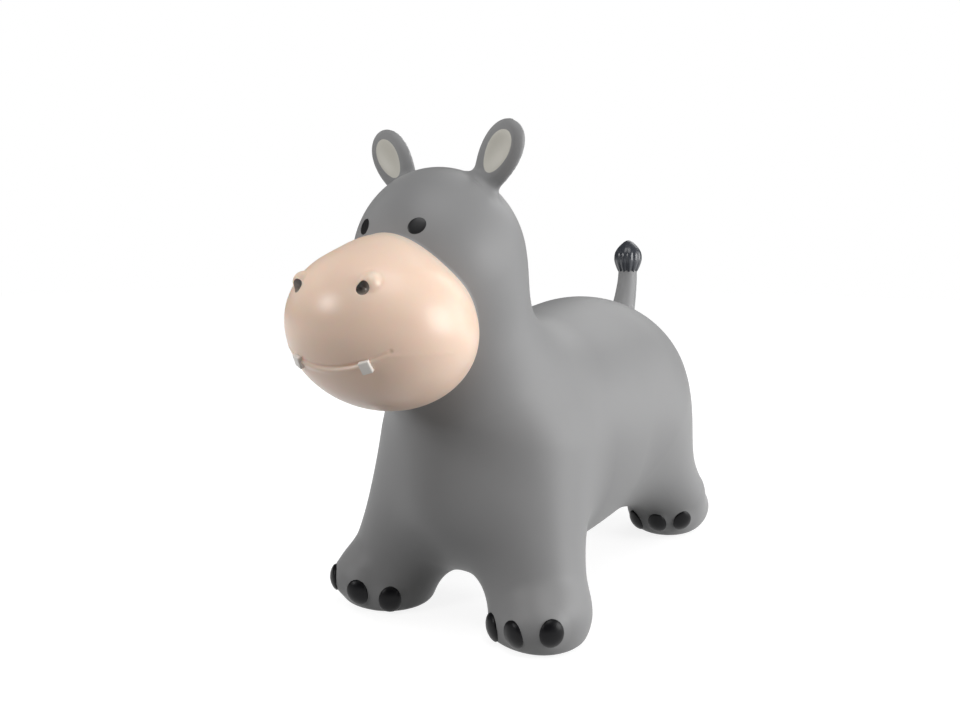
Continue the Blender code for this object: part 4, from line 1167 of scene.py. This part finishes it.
# Floor, backdrop and light; the floor glows a little less near the toy, as in the photo
studio = {
    "floorSize": 12.0, "floorDrop": 0.0004, "floorShade": 0.26, "floorRoughness": 0.9,
    "paperShade": 0.30, "glow": (0.86, 1.0), "glowReach": (0.4, 1.6),
    "world": 0.05, "aim": (0, 0, 0.2),
}
lamps = {
    "key": {"place": (1.840, 0.262, 0.595), "size": 1.0, "power": 26},
    "edge": {"place": (1.422, 1.197, 0.595), "size": 1.2, "power": 12},
    "front": {"place": (-0.8, -1.5, 0.9), "size": 0.45, "power": 9},
    "top": {"place": (0.427, -0.680, 1.922), "size": 1.2, "power": 15},
    "back": {"place": (-0.053, 1.454, 1.421), "size": 1.2, "power": 10},
    "far": {"place": (-1.633, -0.203, 1.150), "size": 1.2, "power": 12, "shine": False},
}


def grey(shade):
    return (shade, shade, shade, 1)


# One where a ray is of any of these kinds, else nothing
def anyRay(tree, first, *others):
    path = addNode(tree, "ShaderNodeLightPath").outputs
    seen = path[first]
    for kind in others:
        seen = maths(tree, "MAXIMUM", seen, path[kind])
    return seen


def makeFloor():
    bm = bmesh.new()
    place = Matrix.Translation((0, 0, -studio["floorDrop"]))
    bmesh.ops.create_grid(bm, x_segments=1, y_segments=1, size=studio["floorSize"] / 2, matrix=place)
    item = objectFrom("floor", bm)
    material, tree, shader = newMaterial("whiteFloor")
    shader.inputs["Base Color"].default_value = grey(studio["floorShade"])
    shader.inputs["Roughness"].default_value = studio["floorRoughness"]
    seen = anyRay(tree, "Is Camera Ray", "Is Glossy Ray", "Is Transmission Ray")
    place = addNode(tree, "ShaderNodeTexCoord").outputs["Object"]
    away = addNode(tree, "ShaderNodeVectorMath", {0: place}, operation="LENGTH").outputs["Value"]
    (nearest, farthest), (dim, full) = studio["glowReach"], studio["glow"]
    strength = addNode(tree, "ShaderNodeMapRange", interpolation_type="SMOOTHSTEP", inputs={
        "Value": away, "From Min": nearest, "From Max": farthest, "To Min": dim, "To Max": full})
    glow = addNode(tree, "ShaderNodeEmission", {"Color": grey(1), "Strength": strength.outputs[0]})
    paper = addNode(tree, "ShaderNodeBsdfDiffuse", {"Color": grey(studio["paperShade"])})
    lit = addNode(tree, "ShaderNodeAddShader", {0: glow.outputs[0], 1: paper.outputs[0]})
    both = addNode(tree, "ShaderNodeMixShader", {0: seen, 1: shader.outputs[0], 2: lit.outputs[0]})
    tree.links.new(both.outputs[0], tree.nodes["Material Output"].inputs["Surface"])
    item.data.materials.append(material)


def makeWorld():
    world = bpy.data.worlds.new("studio")
    bpy.context.scene.world = world
    world.use_nodes = True
    tree = world.node_tree
    background = tree.nodes["Background"]
    background.inputs["Color"].default_value = grey(1)
    background.inputs["Strength"].default_value = studio["world"]
    seen = anyRay(tree, "Is Camera Ray", "Is Transmission Ray")
    white = addNode(tree, "ShaderNodeBackground", {"Color": grey(1), "Strength": 1.0})
    both = addNode(tree, "ShaderNodeMixShader", {0: seen, 1: background.outputs[0], 2: white.outputs[0]})
    tree.links.new(both.outputs[0], tree.nodes["World Output"].inputs["Surface"])


def addLamp(name, lamp):
    data = bpy.data.lights.new(name, "AREA")
    data.size = lamp["size"]
    data.energy = lamp["power"]
    item = newObject(name, data)
    item.visible_glossy = lamp.get("shine", True)
    item.location = lamp["place"]
    item.rotation_euler = (Vector(studio["aim"]) - Vector(lamp["place"])).to_track_quat("-Z", "Y").to_euler()


makeFloor()
makeWorld()
for name, lamp in lamps.items():
    addLamp(name + "Lamp", lamp)
bpy.context.scene.view_settings.view_transform = "Standard"
print("studio lit")
